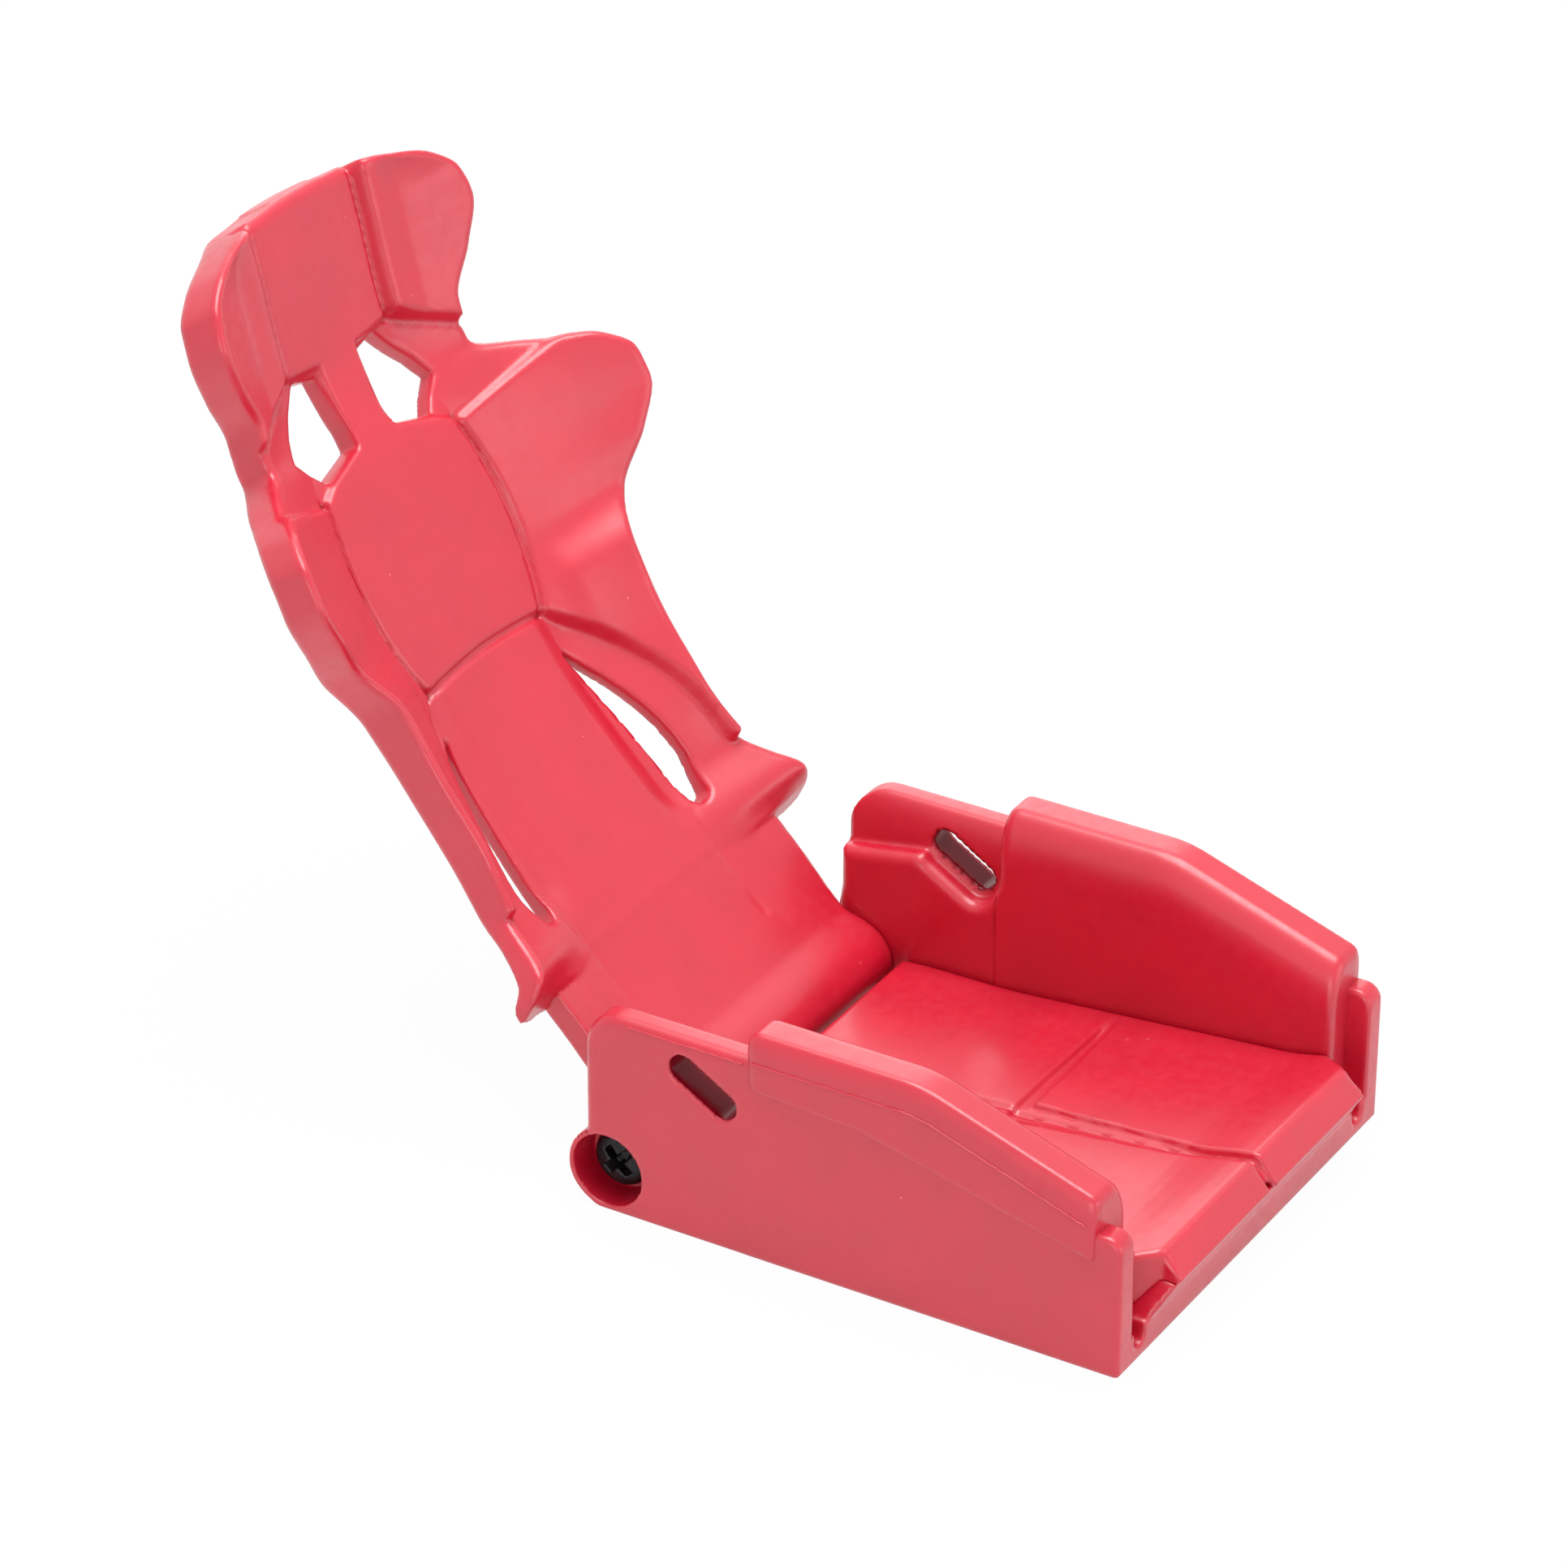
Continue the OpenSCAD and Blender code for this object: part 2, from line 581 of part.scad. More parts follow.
seat_base();
seat_cushion();
bolster_left();
bolster_right();
backrest();
pivot_screw_left();
pivot_screw_right();
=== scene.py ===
"""Looks of a small bucket seat with a reclining back, moulded in one red plastic and held by two black screws.

Shapes are drawn in millimetres in the seat's own drawing frame (Y from the front edge, Z from the underside)
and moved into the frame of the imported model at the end.
"""

import json
import math

import bpy
import numpy as np
from mathutils import Matrix, Vector


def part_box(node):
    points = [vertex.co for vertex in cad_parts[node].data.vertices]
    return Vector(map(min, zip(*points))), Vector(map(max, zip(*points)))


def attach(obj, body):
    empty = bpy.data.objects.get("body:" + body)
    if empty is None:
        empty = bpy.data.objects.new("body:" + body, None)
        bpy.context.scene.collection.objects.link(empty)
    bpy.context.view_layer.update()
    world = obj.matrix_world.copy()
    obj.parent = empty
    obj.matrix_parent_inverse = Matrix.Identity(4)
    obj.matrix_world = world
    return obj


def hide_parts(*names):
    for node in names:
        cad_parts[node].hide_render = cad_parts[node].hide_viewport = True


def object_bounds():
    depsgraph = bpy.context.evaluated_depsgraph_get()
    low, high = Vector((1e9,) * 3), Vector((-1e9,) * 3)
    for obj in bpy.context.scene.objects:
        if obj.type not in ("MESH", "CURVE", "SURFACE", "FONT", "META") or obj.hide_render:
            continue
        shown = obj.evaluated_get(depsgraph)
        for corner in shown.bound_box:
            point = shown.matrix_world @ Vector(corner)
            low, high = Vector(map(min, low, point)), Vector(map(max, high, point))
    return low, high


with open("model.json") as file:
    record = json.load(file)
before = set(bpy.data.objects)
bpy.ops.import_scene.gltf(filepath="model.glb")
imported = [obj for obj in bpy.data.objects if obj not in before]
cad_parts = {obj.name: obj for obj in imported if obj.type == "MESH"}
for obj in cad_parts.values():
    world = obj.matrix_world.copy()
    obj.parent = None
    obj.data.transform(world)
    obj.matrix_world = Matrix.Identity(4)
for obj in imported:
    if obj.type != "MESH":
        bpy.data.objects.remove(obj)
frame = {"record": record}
cad_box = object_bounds()

# ---------------------------------------------------------------- sizes, in millimetres
MM = 0.001
HINGE = frame["record"]["behaviour"]["joints"][0]["pos_m"]
BASE_HIGH = tuple(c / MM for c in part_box("seat_base")[1])
BASE_LENGTH = 54.0
SEAT_SHIFT = -BASE_LENGTH / 2
PIVOT_Y = HINGE[1] / MM - SEAT_SHIFT
PIVOT_Z = HINGE[2] / MM
RECLINE = math.radians(33.0)

SKIN_STEP = 0.365         # spacing of the sample points a moulded skin is drawn from
PAD_STEP = 0.3
BASE_STEP = 0.38
CUSHION_STEP = 0.3
SCREW_STEP = 0.12
SETTLE_ROUNDS = 3         # how often a skin point is moved onto the exact surface
SLOPE_PROBE = 0.02        # distance over which a slope is measured
LEAST_SLOPE = 0.05        # slopes are taken as at least this steep, squared, when a point settles

# Rows up the back: height, half width, rim, middle, half width of the flat, depth of the side face
FOOT_HALF = 19.0
WING_FROM = 15.8
FOOT_TO = 16.6
FOOT_ROWS = (
    (0.0, 3.0, 3.0, 11.5), (3.4, 2.0, 2.0, 11.5), (6.0, 1.3, 1.0, 11.5), (11.0, 0.5, -0.6, 11.3),
    (15.4, -0.4, -1.6, 11.0), (17.0, -0.7, -1.9, 10.9),
)
WING_ROWS = (
    (15.8, 24.0, 1.4, -1.7, 11.0, 2.8), (18.0, 23.2, 2.6, -2.1, 10.8, 3.0), (21.0, 21.4, 1.6, -2.6, 10.5, 3.6),
    (24.0, 20.0, 0.6, -3.2, 10.3, 4.4), (30.0, 19.0, 0.3, -4.3, 10.0, 5.0), (38.0, 19.1, -0.1, -5.5, 9.6, 5.0),
    (44.0, 19.5, -0.3, -5.7, 9.6, 5.0), (49.0, 22.0, 0.2, -5.5, 10.8, 5.0), (53.0, 25.3, 3.0, -5.2, 11.4, 5.0),
    (57.0, 27.4, 4.9, -4.9, 11.5, 5.0), (60.0, 27.2, 5.2, -4.7, 11.2, 5.0), (63.0, 25.1, 3.8, -4.6, 10.6, 5.0),
    (65.5, 20.6, 0.2, -4.7, 9.8, 5.0), (68.3, 16.2, -2.6, -4.9, 9.0, 5.0), (72.0, 16.1, -1.8, -4.6, 8.6, 5.0),
    (76.0, 18.4, 0.4, -3.6, 8.3, 5.0), (80.0, 20.0, 2.4, -2.3, 8.3, 5.0), (83.0, 19.3, 3.0, -1.2, 8.3, 5.2),
    (85.5, 16.6, 3.1, -0.4, 8.3, 5.3), (87.3, 12.6, 2.9, 0.2, 8.3, 5.4), (88.4, 9.6, 2.6, 0.5, 8.2, 5.4),
    (89.0, 7.0, 2.0, 0.6, 6.0, 5.4),
)
BACK_TOP = 88.9
TOP_CROWN = 0.006         # how fast the top face falls away to the sides
TOP_ROUND = 1.5
HEAD_LIFT = 0.8           # how far the head pads stand proud beside their groove
SHELL_THICK = 2.8
SKIRT_THICK = 2.2
RIM_ROUND = 0.9
TIP_LEAN = 0.6
BARREL_R = 3.9
BARREL_HALF = 19.3
BORE_R = 1.52
BORE_FROM = 10.8
RISE_PLAIN, RISE_CURVED = 0.7, 0.3        # how much of a wing's rise is straight, and how much curves up
RISE_LIMIT = 1.3
HEAD_EDGE, HEAD_FADE = 0.4, (9.2, 13.0)   # softness of the head pads' edge, and where their lift dies out
NECK_EDGE = (-0.55, 0.25)
WAIST_SIDE, WAIST_UP, WAIST_EDGE = (7.0, 11.5), (18.0, 23.5), (-0.6, 0.3)
HIP_RISE = 0.6                            # ledge of the hip pad: height, then its side, top and foot
HIP_SIDE, HIP_TOP, HIP_FOOT = (11.6, 14.0), (44.6, 48.8), (36.0, 45.0)
NEIGHBOUR = 0.1                           # distance to the point that a face's lean is read from
SKIRT_ROUND, SKIRT_FILLET = 0.5, 0.8
TIP_ROUND, FOOT_ROUND = 0.35, 0.35
FOOT_SLOPE = 0.95                         # makes the leaning foot's distances true
BARREL_ROUND, BARREL_FILLET = 0.3, 1.2
HOLE_ROUND, SLIT_ROUND = 0.4, 0.3
BACK_SPAN = ((-28.3, -4.5, -11.0), (28.3, 91.2, 6.2))

# Outlines on the back, as half width and height
NECK_LOW = ((8.3, 74.2), (2.8, 73.7), (2.6, 66.6), (3.2, 65.3), (8.4, 63.7), (10.4, 62.6), (24.0, 65.2), (27.0, 67.0),
            (22.0, 66.6), (16.6, 69.6))
NECK_SINK = 0.7
BELT_HOLE = ((3.3, 72.8), (6.5, 73.5), (10.0, 69.3), (11.1, 67.3), (8.3, 64.2), (2.9, 65.6), (2.6, 67.4))
WAIST_SINK = 1.15
HEAD_PAD = ((8.6, 95.0), (8.6, 74.2), (16.6, 69.8), (30.0, 62.0), (30.0, 95.0))


def bend(a, m, b, n):
    """Points of a curve from a to b that leaves towards m."""
    return [tuple((1 - t) ** 2 * a[i] + 2 * t * (1 - t) * m[i] + t * t * b[i] for i in (0, 1))
            for t in np.linspace(0, 1, n)]


PANEL_SEAM = bend((10.5, 62.6), (13.4, 52.0), (9.4, 43.0), 9)
PAD_FOOT = bend((9.4, 43.0), (17.4, 36.0), (18.6, 24.4), 12)
ARCH = bend((0.0, 43.7), (5.0, 43.6), (9.4, 43.0), 5)
WAIST_LOW = ([(0.0, 43.7)] + ARCH[1:] + PAD_FOOT[1:]
             + [(19.1, 23.7), (20.4, 23.9), (24.0, 26.5), (30.0, 26.0), (30.0, 5.0), (0.0, 5.0)])
SIDE_SLIT = (bend((9.7, 38.6), (11.6, 31.0), (12.0, 21.0), 8) + bend((12.6, 20.2), (13.6, 20.0), (14.2, 20.8), 4)
             + bend((14.9, 24.5), (14.6, 31.5), (9.9, 38.8), 8))
# Grooves: path, half width, depth. The last one is the line down the foot
GROOVES = (
    (((8.3, 91.5), (8.3, 74.2)), 0.75, 0.65),
    (((8.3, 74.2), (16.6, 69.6), (19.0, 68.3)), 0.6, 0.55),
    (tuple(PANEL_SEAM), 0.55, 0.65),
    (tuple(PAD_FOOT), 0.65, 0.45),
    (((10.5, 62.6), (24.0, 65.2)), 0.55, 0.4),
    (tuple(ARCH), 0.6, 0.5),
    (((11.2, 20.0), (10.6, 9.0)), 0.6, 0.1),
)


# ---------------------------------------------------------------- drawing with distances
def round_off(a, b, r):
    """The part inside both a and b, with the edge between them rounded."""
    return np.minimum(np.maximum(a, b), -r) + np.hypot(np.maximum(a + r, 0), np.maximum(b + r, 0))


def crown(a, b, ra, rb):
    """The part inside both a and b, with an edge whose round is ra deep along a and rb deep along b."""
    p, q = np.maximum(a / ra + 1, 0), np.maximum(b / rb + 1, 0)
    over = np.hypot(p, q) - 1 + np.minimum(np.maximum(a / ra, b / rb) + 1, 0)
    return over * (ra * p + rb * q + 1e-6) / (p + q + 1e-6)


def fillet(a, b, r):
    """a and b joined, with the corner between them filled."""
    return np.maximum(np.minimum(a, b), r) - np.hypot(np.maximum(r - a, 0), np.maximum(r - b, 0))


def ease(low, high, x):
    """0 below low, 1 above high, and a soft rise between."""
    t = np.clip((x - low) / (high - low), 0, 1)
    return t * t * (3 - 2 * t)


def path_distance(x, y, path):
    """Distance in a plane from each point to a line through the path's points."""
    best = None
    for (ax, ay), (bx, by) in zip(path[:-1], path[1:]):
        ex, ey = bx - ax, by - ay
        t = np.clip(((x - ax) * ex + (y - ay) * ey) / (ex * ex + ey * ey), 0, 1)
        d = (x - ax - ex * t) ** 2 + (y - ay - ey * t) ** 2
        best = d if best is None else np.minimum(best, d)
    return np.sqrt(best)


def outline_distance(x, y, outline):
    """Distance in a plane to a closed outline, negative inside it."""
    ring = list(outline) + [outline[0]]
    inside = np.zeros(np.broadcast(x, y).shape, bool)
    for (ax, ay), (bx, by) in zip(ring[:-1], ring[1:]):
        if ay != by:
            inside ^= ((ay > y) != (by > y)) & (x < (bx - ax) * (y - ay) / (by - ay) + ax)
    return np.where(inside, -1.0, 1.0) * path_distance(x, y, ring)


def row_curves(rows, u):
    """Each column of the rows at heights u, on smooth curves that never overshoot."""
    table = np.array(rows)
    h = table[:, 0]
    i = np.clip(np.searchsorted(h, u, side="right") - 1, 0, len(h) - 2)
    gap = h[i + 1] - h[i]
    t = np.clip((u - h[i]) / gap, 0, 1)
    a, b = 2 * t ** 3 - 3 * t * t + 1, t ** 3 - 2 * t * t + t
    c, d = 3 * t * t - 2 * t ** 3, t ** 3 - t * t
    out = []
    for column in table.T[1:]:
        s = np.diff(column) / np.diff(h)
        pair = s[:-1] * s[1:]
        lean = np.zeros(len(h))
        lean[1:-1] = np.where(pair > 0, 2 * pair / np.where(pair > 0, s[:-1] + s[1:], 1), 0)
        out.append(a * column[i] + b * gap * lean[i] + c * column[i + 1] + d * gap * lean[i + 1])
    return out


def corners_of(cell, spans):
    return tuple(cell[i] + spans[i] for i in range(3))


def moulded_skin(name, solid, low, high, step, place, recess=None):
    """Closed mesh over the surface where solid is zero; place turns its points into the frame's."""
    axes = [np.arange(low[i], high[i] + step, step) for i in range(3)]
    d = np.broadcast_to(solid(*np.meshgrid(*axes, indexing="ij", sparse=True)), [len(a) for a in axes])
    inside = d < 0
    nx, ny, nz = (n - 1 for n in inside.shape)
    counts = sum(inside[i:i + nx, j:j + ny, k:k + nz].astype(np.int8) for i in (0, 1) for j in (0, 1) for k in (0, 1))
    cells = np.array(np.nonzero((counts > 0) & (counts < 8)))
    total, hits = np.zeros(cells.shape), np.zeros(cells.shape[1])
    for axis in range(3):
        others = [k for k in range(3) if k != axis]
        for p in (0, 1):
            for q in (0, 1):
                start = np.zeros(3, int)
                start[others[0]], start[others[1]] = p, q
                end = start.copy()
                end[axis] = 1
                d0, d1 = d[corners_of(cells, start)], d[corners_of(cells, end)]
                cross = (d0 < 0) != (d1 < 0)
                t = np.where(cross, d0 / np.where(cross, d0 - d1, 1), 0)
                for k in range(3):
                    total[k] += np.where(cross, start[k] + (t if k == axis else 0), 0)
                hits += cross
    points = (cells + total / hits) * step + np.array(low)[:, None]
    for _ in range(SETTLE_ROUNDS):
        here = solid(*points)
        probes = [solid(*(points + np.eye(3)[k][:, None] * SLOPE_PROBE)) for k in range(3)]
        slope = np.array([probe - here for probe in probes]) / SLOPE_PROBE
        move = slope * (here / np.maximum((slope ** 2).sum(0), LEAST_SLOPE))
        points = points - np.clip(move, -step / 2, step / 2)
    number = np.full(counts.shape, -1, np.int64)
    number[tuple(cells)] = np.arange(cells.shape[1])
    faces = []
    for axis in range(3):
        a, b = [k for k in range(3) if k != axis]
        near = [slice(None)] * 3
        far = [slice(None)] * 3
        near[axis], far[axis] = slice(None, -1), slice(1, None)
        flips = np.array(np.nonzero(inside[tuple(near)] != inside[tuple(far)]))
        quad = []
        for da, db in ((-1, -1), (0, -1), (0, 0), (-1, 0)):
            cell = flips.copy()
            cell[a] += da
            cell[b] += db
            quad.append(number[tuple(cell)])
        quad = np.array(quad).T
        start_inside = inside[tuple(near)][tuple(flips)]
        turned = start_inside if axis != 1 else ~start_inside
        faces.append(np.where(turned[:, None], quad, quad[:, ::-1]))
    piece = mesh_object(name, np.array(place(*points)).T * MM, np.concatenate(faces))
    # point attribute read by the material: where it is 1, shade is painted (inside the harness slots)
    shade = piece.data.attributes.new("recess", "FLOAT", "POINT")
    shade.data.foreach_set("value", (recess(*points) if recess else np.zeros(points.shape[1])).astype(np.float32))
    return piece


def mesh_object(name, points, quads):
    """Mesh from arrays of points in metres and of four point numbers a face."""
    mesh = bpy.data.meshes.new(name)
    mesh.vertices.add(len(points))
    mesh.vertices.foreach_set("co", np.ascontiguousarray(points, np.float32).ravel())
    mesh.loops.add(quads.size)
    mesh.loops.foreach_set("vertex_index", np.ascontiguousarray(quads, np.int32).ravel())
    mesh.polygons.add(len(quads))
    mesh.polygons.foreach_set("loop_start", np.arange(0, quads.size, quads.shape[1], dtype=np.int32))
    mesh.update(calc_edges=True)
    mesh.shade_smooth()
    piece = bpy.data.objects.new(name, mesh)
    bpy.context.scene.collection.objects.link(piece)
    return piece


# ---------------------------------------------------------------- the reclining back
def face_height(x, u):
    """How far the back's front face stands forward at half width x and height u, and the row values there."""
    wing = row_curves(WING_ROWS, u)
    half, rim, middle, flat, deep = wing
    t = np.clip((x - flat) / (half - flat), 0, RISE_LIMIT)
    plain = middle + (rim - middle) * t * (RISE_PLAIN + RISE_CURVED * t)
    head = ease(-HEAD_EDGE, HEAD_EDGE, -outline_distance(x, u, HEAD_PAD)) * (1 - ease(*HEAD_FADE, x))
    v = plain + HEAD_LIFT * head
    v = v - NECK_SINK * (1 - ease(*NECK_EDGE, outline_distance(x, u, NECK_LOW)))
    waist = WAIST_SINK * ease(*WAIST_SIDE, x) * ease(*WAIST_UP, u)
    v = v - waist * (1 - ease(*WAIST_EDGE, outline_distance(x, u, WAIST_LOW)))
    v = v + HIP_RISE * ease(*HIP_SIDE, x) * ease(-HIP_TOP[1], -HIP_TOP[0], -u) * ease(*HIP_FOOT, u)
    for path, wide, deep_in in GROOVES:
        s = np.clip(path_distance(x, u, path) / wide, 0, 1)
        v = v - deep_in * (1 - s * s) ** 2
    return v, half, plain, deep


def back_solid(x, u, v):
    """The back, in its own frame: u runs up it and v stands out of its front."""
    x = np.abs(x)
    face, half, plain, deep = face_height(x, u)
    aside = face_height(x + NEIGHBOUR, u)[0]
    above, half_above = face_height(x, u + NEIGHBOUR)[:2]
    plumb = 1 / np.sqrt(1 + ((aside - face) / NEIGHBOUR) ** 2 + ((above - face) / NEIGHBOUR) ** 2)
    edge = 1 / np.sqrt(1 + ((half_above - half) / NEIGHBOUR) ** 2)
    front = (v - face) * plumb
    side = (x - half) * edge
    top = u - BACK_TOP + TOP_CROWN * x * x
    outer = round_off(round_off(front, side, RIM_ROUND), top, TOP_ROUND)
    shell = np.maximum(outer, (plain - SHELL_THICK - v) * plumb)
    skirt = round_off(outer, (plain - deep - v) * plumb, SKIRT_ROUND)
    skirt = np.maximum(skirt, np.minimum((half - SKIRT_THICK - x) * edge, -top - SKIRT_THICK))
    wing = np.maximum(fillet(shell, skirt, SKIRT_FILLET), outer)
    wing = round_off(wing, (WING_FROM + TIP_LEAN * v - u) / math.hypot(1, TIP_LEAN), TIP_ROUND)
    foot_rim, foot_middle, foot_flat = row_curves(FOOT_ROWS, u)
    t = np.clip((x - foot_flat) / (FOOT_HALF - foot_flat), 0, 1)
    slab_face = foot_middle + (foot_rim - foot_middle) * t * (RISE_PLAIN + RISE_CURVED * t)
    path, wide, deep_in = GROOVES[-1]
    slab_face = slab_face - deep_in * (1 - np.clip(path_distance(x, u, path) / wide, 0, 1) ** 2) ** 2
    slab = np.maximum(v - slab_face, slab_face - SHELL_THICK - v) * FOOT_SLOPE
    slab = round_off(slab, x - FOOT_HALF, FOOT_ROUND)
    slab = np.maximum(slab, np.maximum(-u, u - FOOT_TO))
    body = np.minimum(wing, slab)
    barrel = round_off(np.hypot(u, v) - BARREL_R, x - BARREL_HALF, BARREL_ROUND)
    body = fillet(body, barrel, BARREL_FILLET)
    body = round_off(body, -outline_distance(x, u, BELT_HOLE), HOLE_ROUND)
    body = round_off(body, -outline_distance(x, u, SIDE_SLIT), SLIT_ROUND)
    return np.maximum(body, -np.maximum(np.hypot(u, v) - BORE_R, BORE_FROM - x))


def on_back(x, u, v):
    """Points of the back's own frame, put in the frame of the whole seat."""
    s, c = math.sin(RECLINE), math.cos(RECLINE)
    return x, PIVOT_Y + SEAT_SHIFT + u * s - v * c, PIVOT_Z + u * c + v * s


def make_back():
    return moulded_skin("seat_back", back_solid, *BACK_SPAN, SKIN_STEP, on_back)


# ---------------------------------------------------------------- bolsters
WALL_HALF = BASE_HIGH[0]
BOLSTER_OUT = 25.4
CHEEK_X = 19.6
BOLSTER_FRONT, BOLSTER_REAR = 2.4, 37.3
BOLSTER_BEND = 20.0
BOLSTER_HIGH, BOLSTER_LOW = 23.1, 17.2
CREST_OUT = (0.9, 2.7)                    # round of the bolster's crest towards the outer side, wide and deep
CREST_IN = (2.5, 5.2)                     # the same towards the sitter
LIP_X = 24.3
TONGUE_IN = 22.4
BOLSTER_FOOT = 1.9
LAP = ((2.4, 11.3), (25.7, 17.0), (37.3, 17.5))
LAP_END = ((2.4, 30.0), (2.4, 11.3), (25.7, 17.0), (35.9, 17.5), (36.7, 17.7), (37.1, 18.2), (37.3, 18.9),
           (37.3, 30.0))
LAP_ROUND = 0.3
PARTING_STEP, PARTING_EDGE = 0.08, (-0.05, 0.08)   # step at the parting line, and where it rises
BEND_SPREAD = 2.0                         # half the length over which the top bends down
CREST_SLOPE = 0.96                        # makes the leaning top's distances true
REAR_SHARP, REAR_ROUND, REAR_RISE = 0.05, 1.3, (13.0, 16.5)
FRONT_ROUND = 0.8
ROOF_UNDER, ROOF_HIGH, ROOF_FRONT = 2.5, 20.6, 1.7  # room for the wall's tongue
BOLSTER_SPAN = ((19.2, 1.9, 1.5), (25.9, 37.8, 23.6))


def bolster_top(y):
    """Height of a bolster's crest, level at the rear and falling to the front past a soft bend."""
    drop = np.clip(BOLSTER_BEND + BEND_SPREAD - y, 0, None)
    run = np.where(drop < 2 * BEND_SPREAD, drop ** 2 / (4 * BEND_SPREAD), drop - BEND_SPREAD)
    fall = run * (BOLSTER_HIGH - BOLSTER_LOW) / (BOLSTER_BEND - BOLSTER_FRONT)
    return BOLSTER_HIGH - fall


def bolster_solid(x, y, z):
    x = np.abs(x)
    top = bolster_top(y)
    step = PARTING_STEP * ease(*PARTING_EDGE, z - top + CREST_OUT[1])
    body = crown(x - BOLSTER_OUT + step, (z - top) * CREST_SLOPE, *CREST_OUT)
    body = np.maximum(body, crown(CHEEK_X - x, (z - top) * CREST_SLOPE, *CREST_IN))
    body = round_off(body, y - BOLSTER_REAR, REAR_SHARP + REAR_ROUND * ease(*REAR_RISE, z))
    body = round_off(body, BOLSTER_FRONT - y, FRONT_ROUND)
    body = np.maximum(body, BOLSTER_FOOT - z)
    body = np.where(x > LIP_X, round_off(body, outline_distance(y, z, LAP_END), LAP_ROUND), body)
    roof = np.minimum(top - ROOF_UNDER, ROOF_HIGH)
    channel = np.maximum(np.maximum(TONGUE_IN - x, x - LIP_X), np.maximum(z - roof, BOLSTER_FRONT + ROOF_FRONT - y))
    return np.maximum(body, -channel)


def on_base(x, y, z):
    return x, y + SEAT_SHIFT, z


def make_bolster(side):
    (inner, *rest_low), (outer, *rest_high) = BOLSTER_SPAN
    low, high = sorted((side * inner, side * outer))
    name = "bolster_pad_left" if side > 0 else "bolster_pad_right"
    return moulded_skin(name, bolster_solid, (low, *rest_low), (high, *rest_high), PAD_STEP, on_base)


# ---------------------------------------------------------------- base
WALL_IN = 21.6
WALL_TOP = 20.5
WALL_REAR = BASE_LENGTH
WALL_FROM = 36.4
WALL_CORNER = 4.0
TOP_OUT = 1.0
TOP_IN = (1.4, 4.4)
POST_IN, POST_TOP, POST_BACK = 22.5, 14.0, 4.1
POST_NOSE, POST_EDGE = 1.6, 0.45
FLOOR_TOP = 1.8
FLOOR_SPAN = (0.6, 46.8)
BOSS_R = PIVOT_Z
COUNTERBORE_R, COUNTERBORE_X = 3.6, 21.2
CLEARANCE_R = 1.58
BAND_HIGH, BAND_DEEP = 3.0, 1.8
NOTCH_X, NOTCH_R, NOTCH_Z = 20.95, 0.95, 2.15
LIP_SLANT_Z, LIP_SLANT_X = (3.1, 6.2), (19.5, 17.65)
LIP_SIDE = ((0.4, 2.5), (0.0, 3.0), (-1.7, 6.1), (-0.1, 6.3), (2.5, 3.1), (2.5, 1.9))
SLOT_LOW, SLOT_HIGH = (39.69, 14.79), (43.71, 17.21)
SLOT_IN, SLOT_OUT = 1.25, 1.45              # half width of the slot at the inner and the outer face
LEDGE_DROP = 0.6
LEDGE_TURN = math.radians(188)              # where the ledge starts to turn round the slot's low end
LEDGE_STEPS = 8
LEDGE_RAMP = 0.7
LEDGE_REAR_DROP = 0.8
BELOW = -1.0                                # a height under everything
LEDGE_FROM = 37.0
CHEEK_BACK = 0.05                           # how far the cheek stands back from the bolster's inner face
CHEEK_OUT = 0.8                             # how far it stays inside the wall's outer face
CHEEK_SHARP, CHEEK_ROUND, CHEEK_RISE = 0.1, 1.0, (8.0, 11.0)
WALL_EDGE, WALL_FILLET = 0.3, 0.3
BOSS_ROUND_OUT, BOSS_ROUND_IN = 0.4, 0.3
LAP_COVER = 0.6                             # how far the wall reaches up behind the bolster's lap
OVERLAP = 0.2                               # how far the floor and the band reach into the walls
POST_EDGE_IN = 0.35
BAND_EDGE, LIP_EDGE, NOTCH_EDGE, SLOT_EDGE, COUNTERBORE_EDGE, SOLE_EDGE = 0.15, 0.15, 0.15, 0.15, 0.18, 0.3
LIP_SLOPE = 0.86                            # makes the slanted end's distances true
PAINTED_SHADE_SOFT = 0.12                          # painted shade inside the slots: softness of its edge, then its ends in depth
PAINTED_SHADE_INNER, PAINTED_SHADE_OUTER = (-0.5, 0.15), (0.35, 0.05)
BASE_SPAN = ((-25.6, -2.6, -0.5), (25.6, 56.6, 22.0))


def ledge_outline():
    """Side outline of the thick lower part of the wall, whose ledge follows the lower side of the slot."""
    reach = SLOT_OUT + LEDGE_DROP
    tilt = math.atan2(SLOT_HIGH[1] - SLOT_LOW[1], SLOT_HIGH[0] - SLOT_LOW[0])
    straight_down = math.radians(270)
    turn = [LEDGE_TURN + (straight_down + tilt - LEDGE_TURN) * k / LEDGE_STEPS for k in range(LEDGE_STEPS + 1)]
    low_end = [(SLOT_LOW[0] + reach * math.cos(a), SLOT_LOW[1] + reach * math.sin(a)) for a in turn]
    far = (SLOT_HIGH[0] + reach * math.sin(tilt), SLOT_HIGH[1] - reach * math.cos(tilt))
    rear_end = [far, (far[0] + LEDGE_RAMP, far[1] + LEDGE_RAMP), (WALL_REAR, far[1] - LEDGE_REAR_DROP),
                (WALL_REAR, BELOW)]
    return [(LEDGE_FROM, BELOW), (LEDGE_FROM, SLOT_LOW[1])] + low_end + rear_end


LEDGE = ledge_outline()


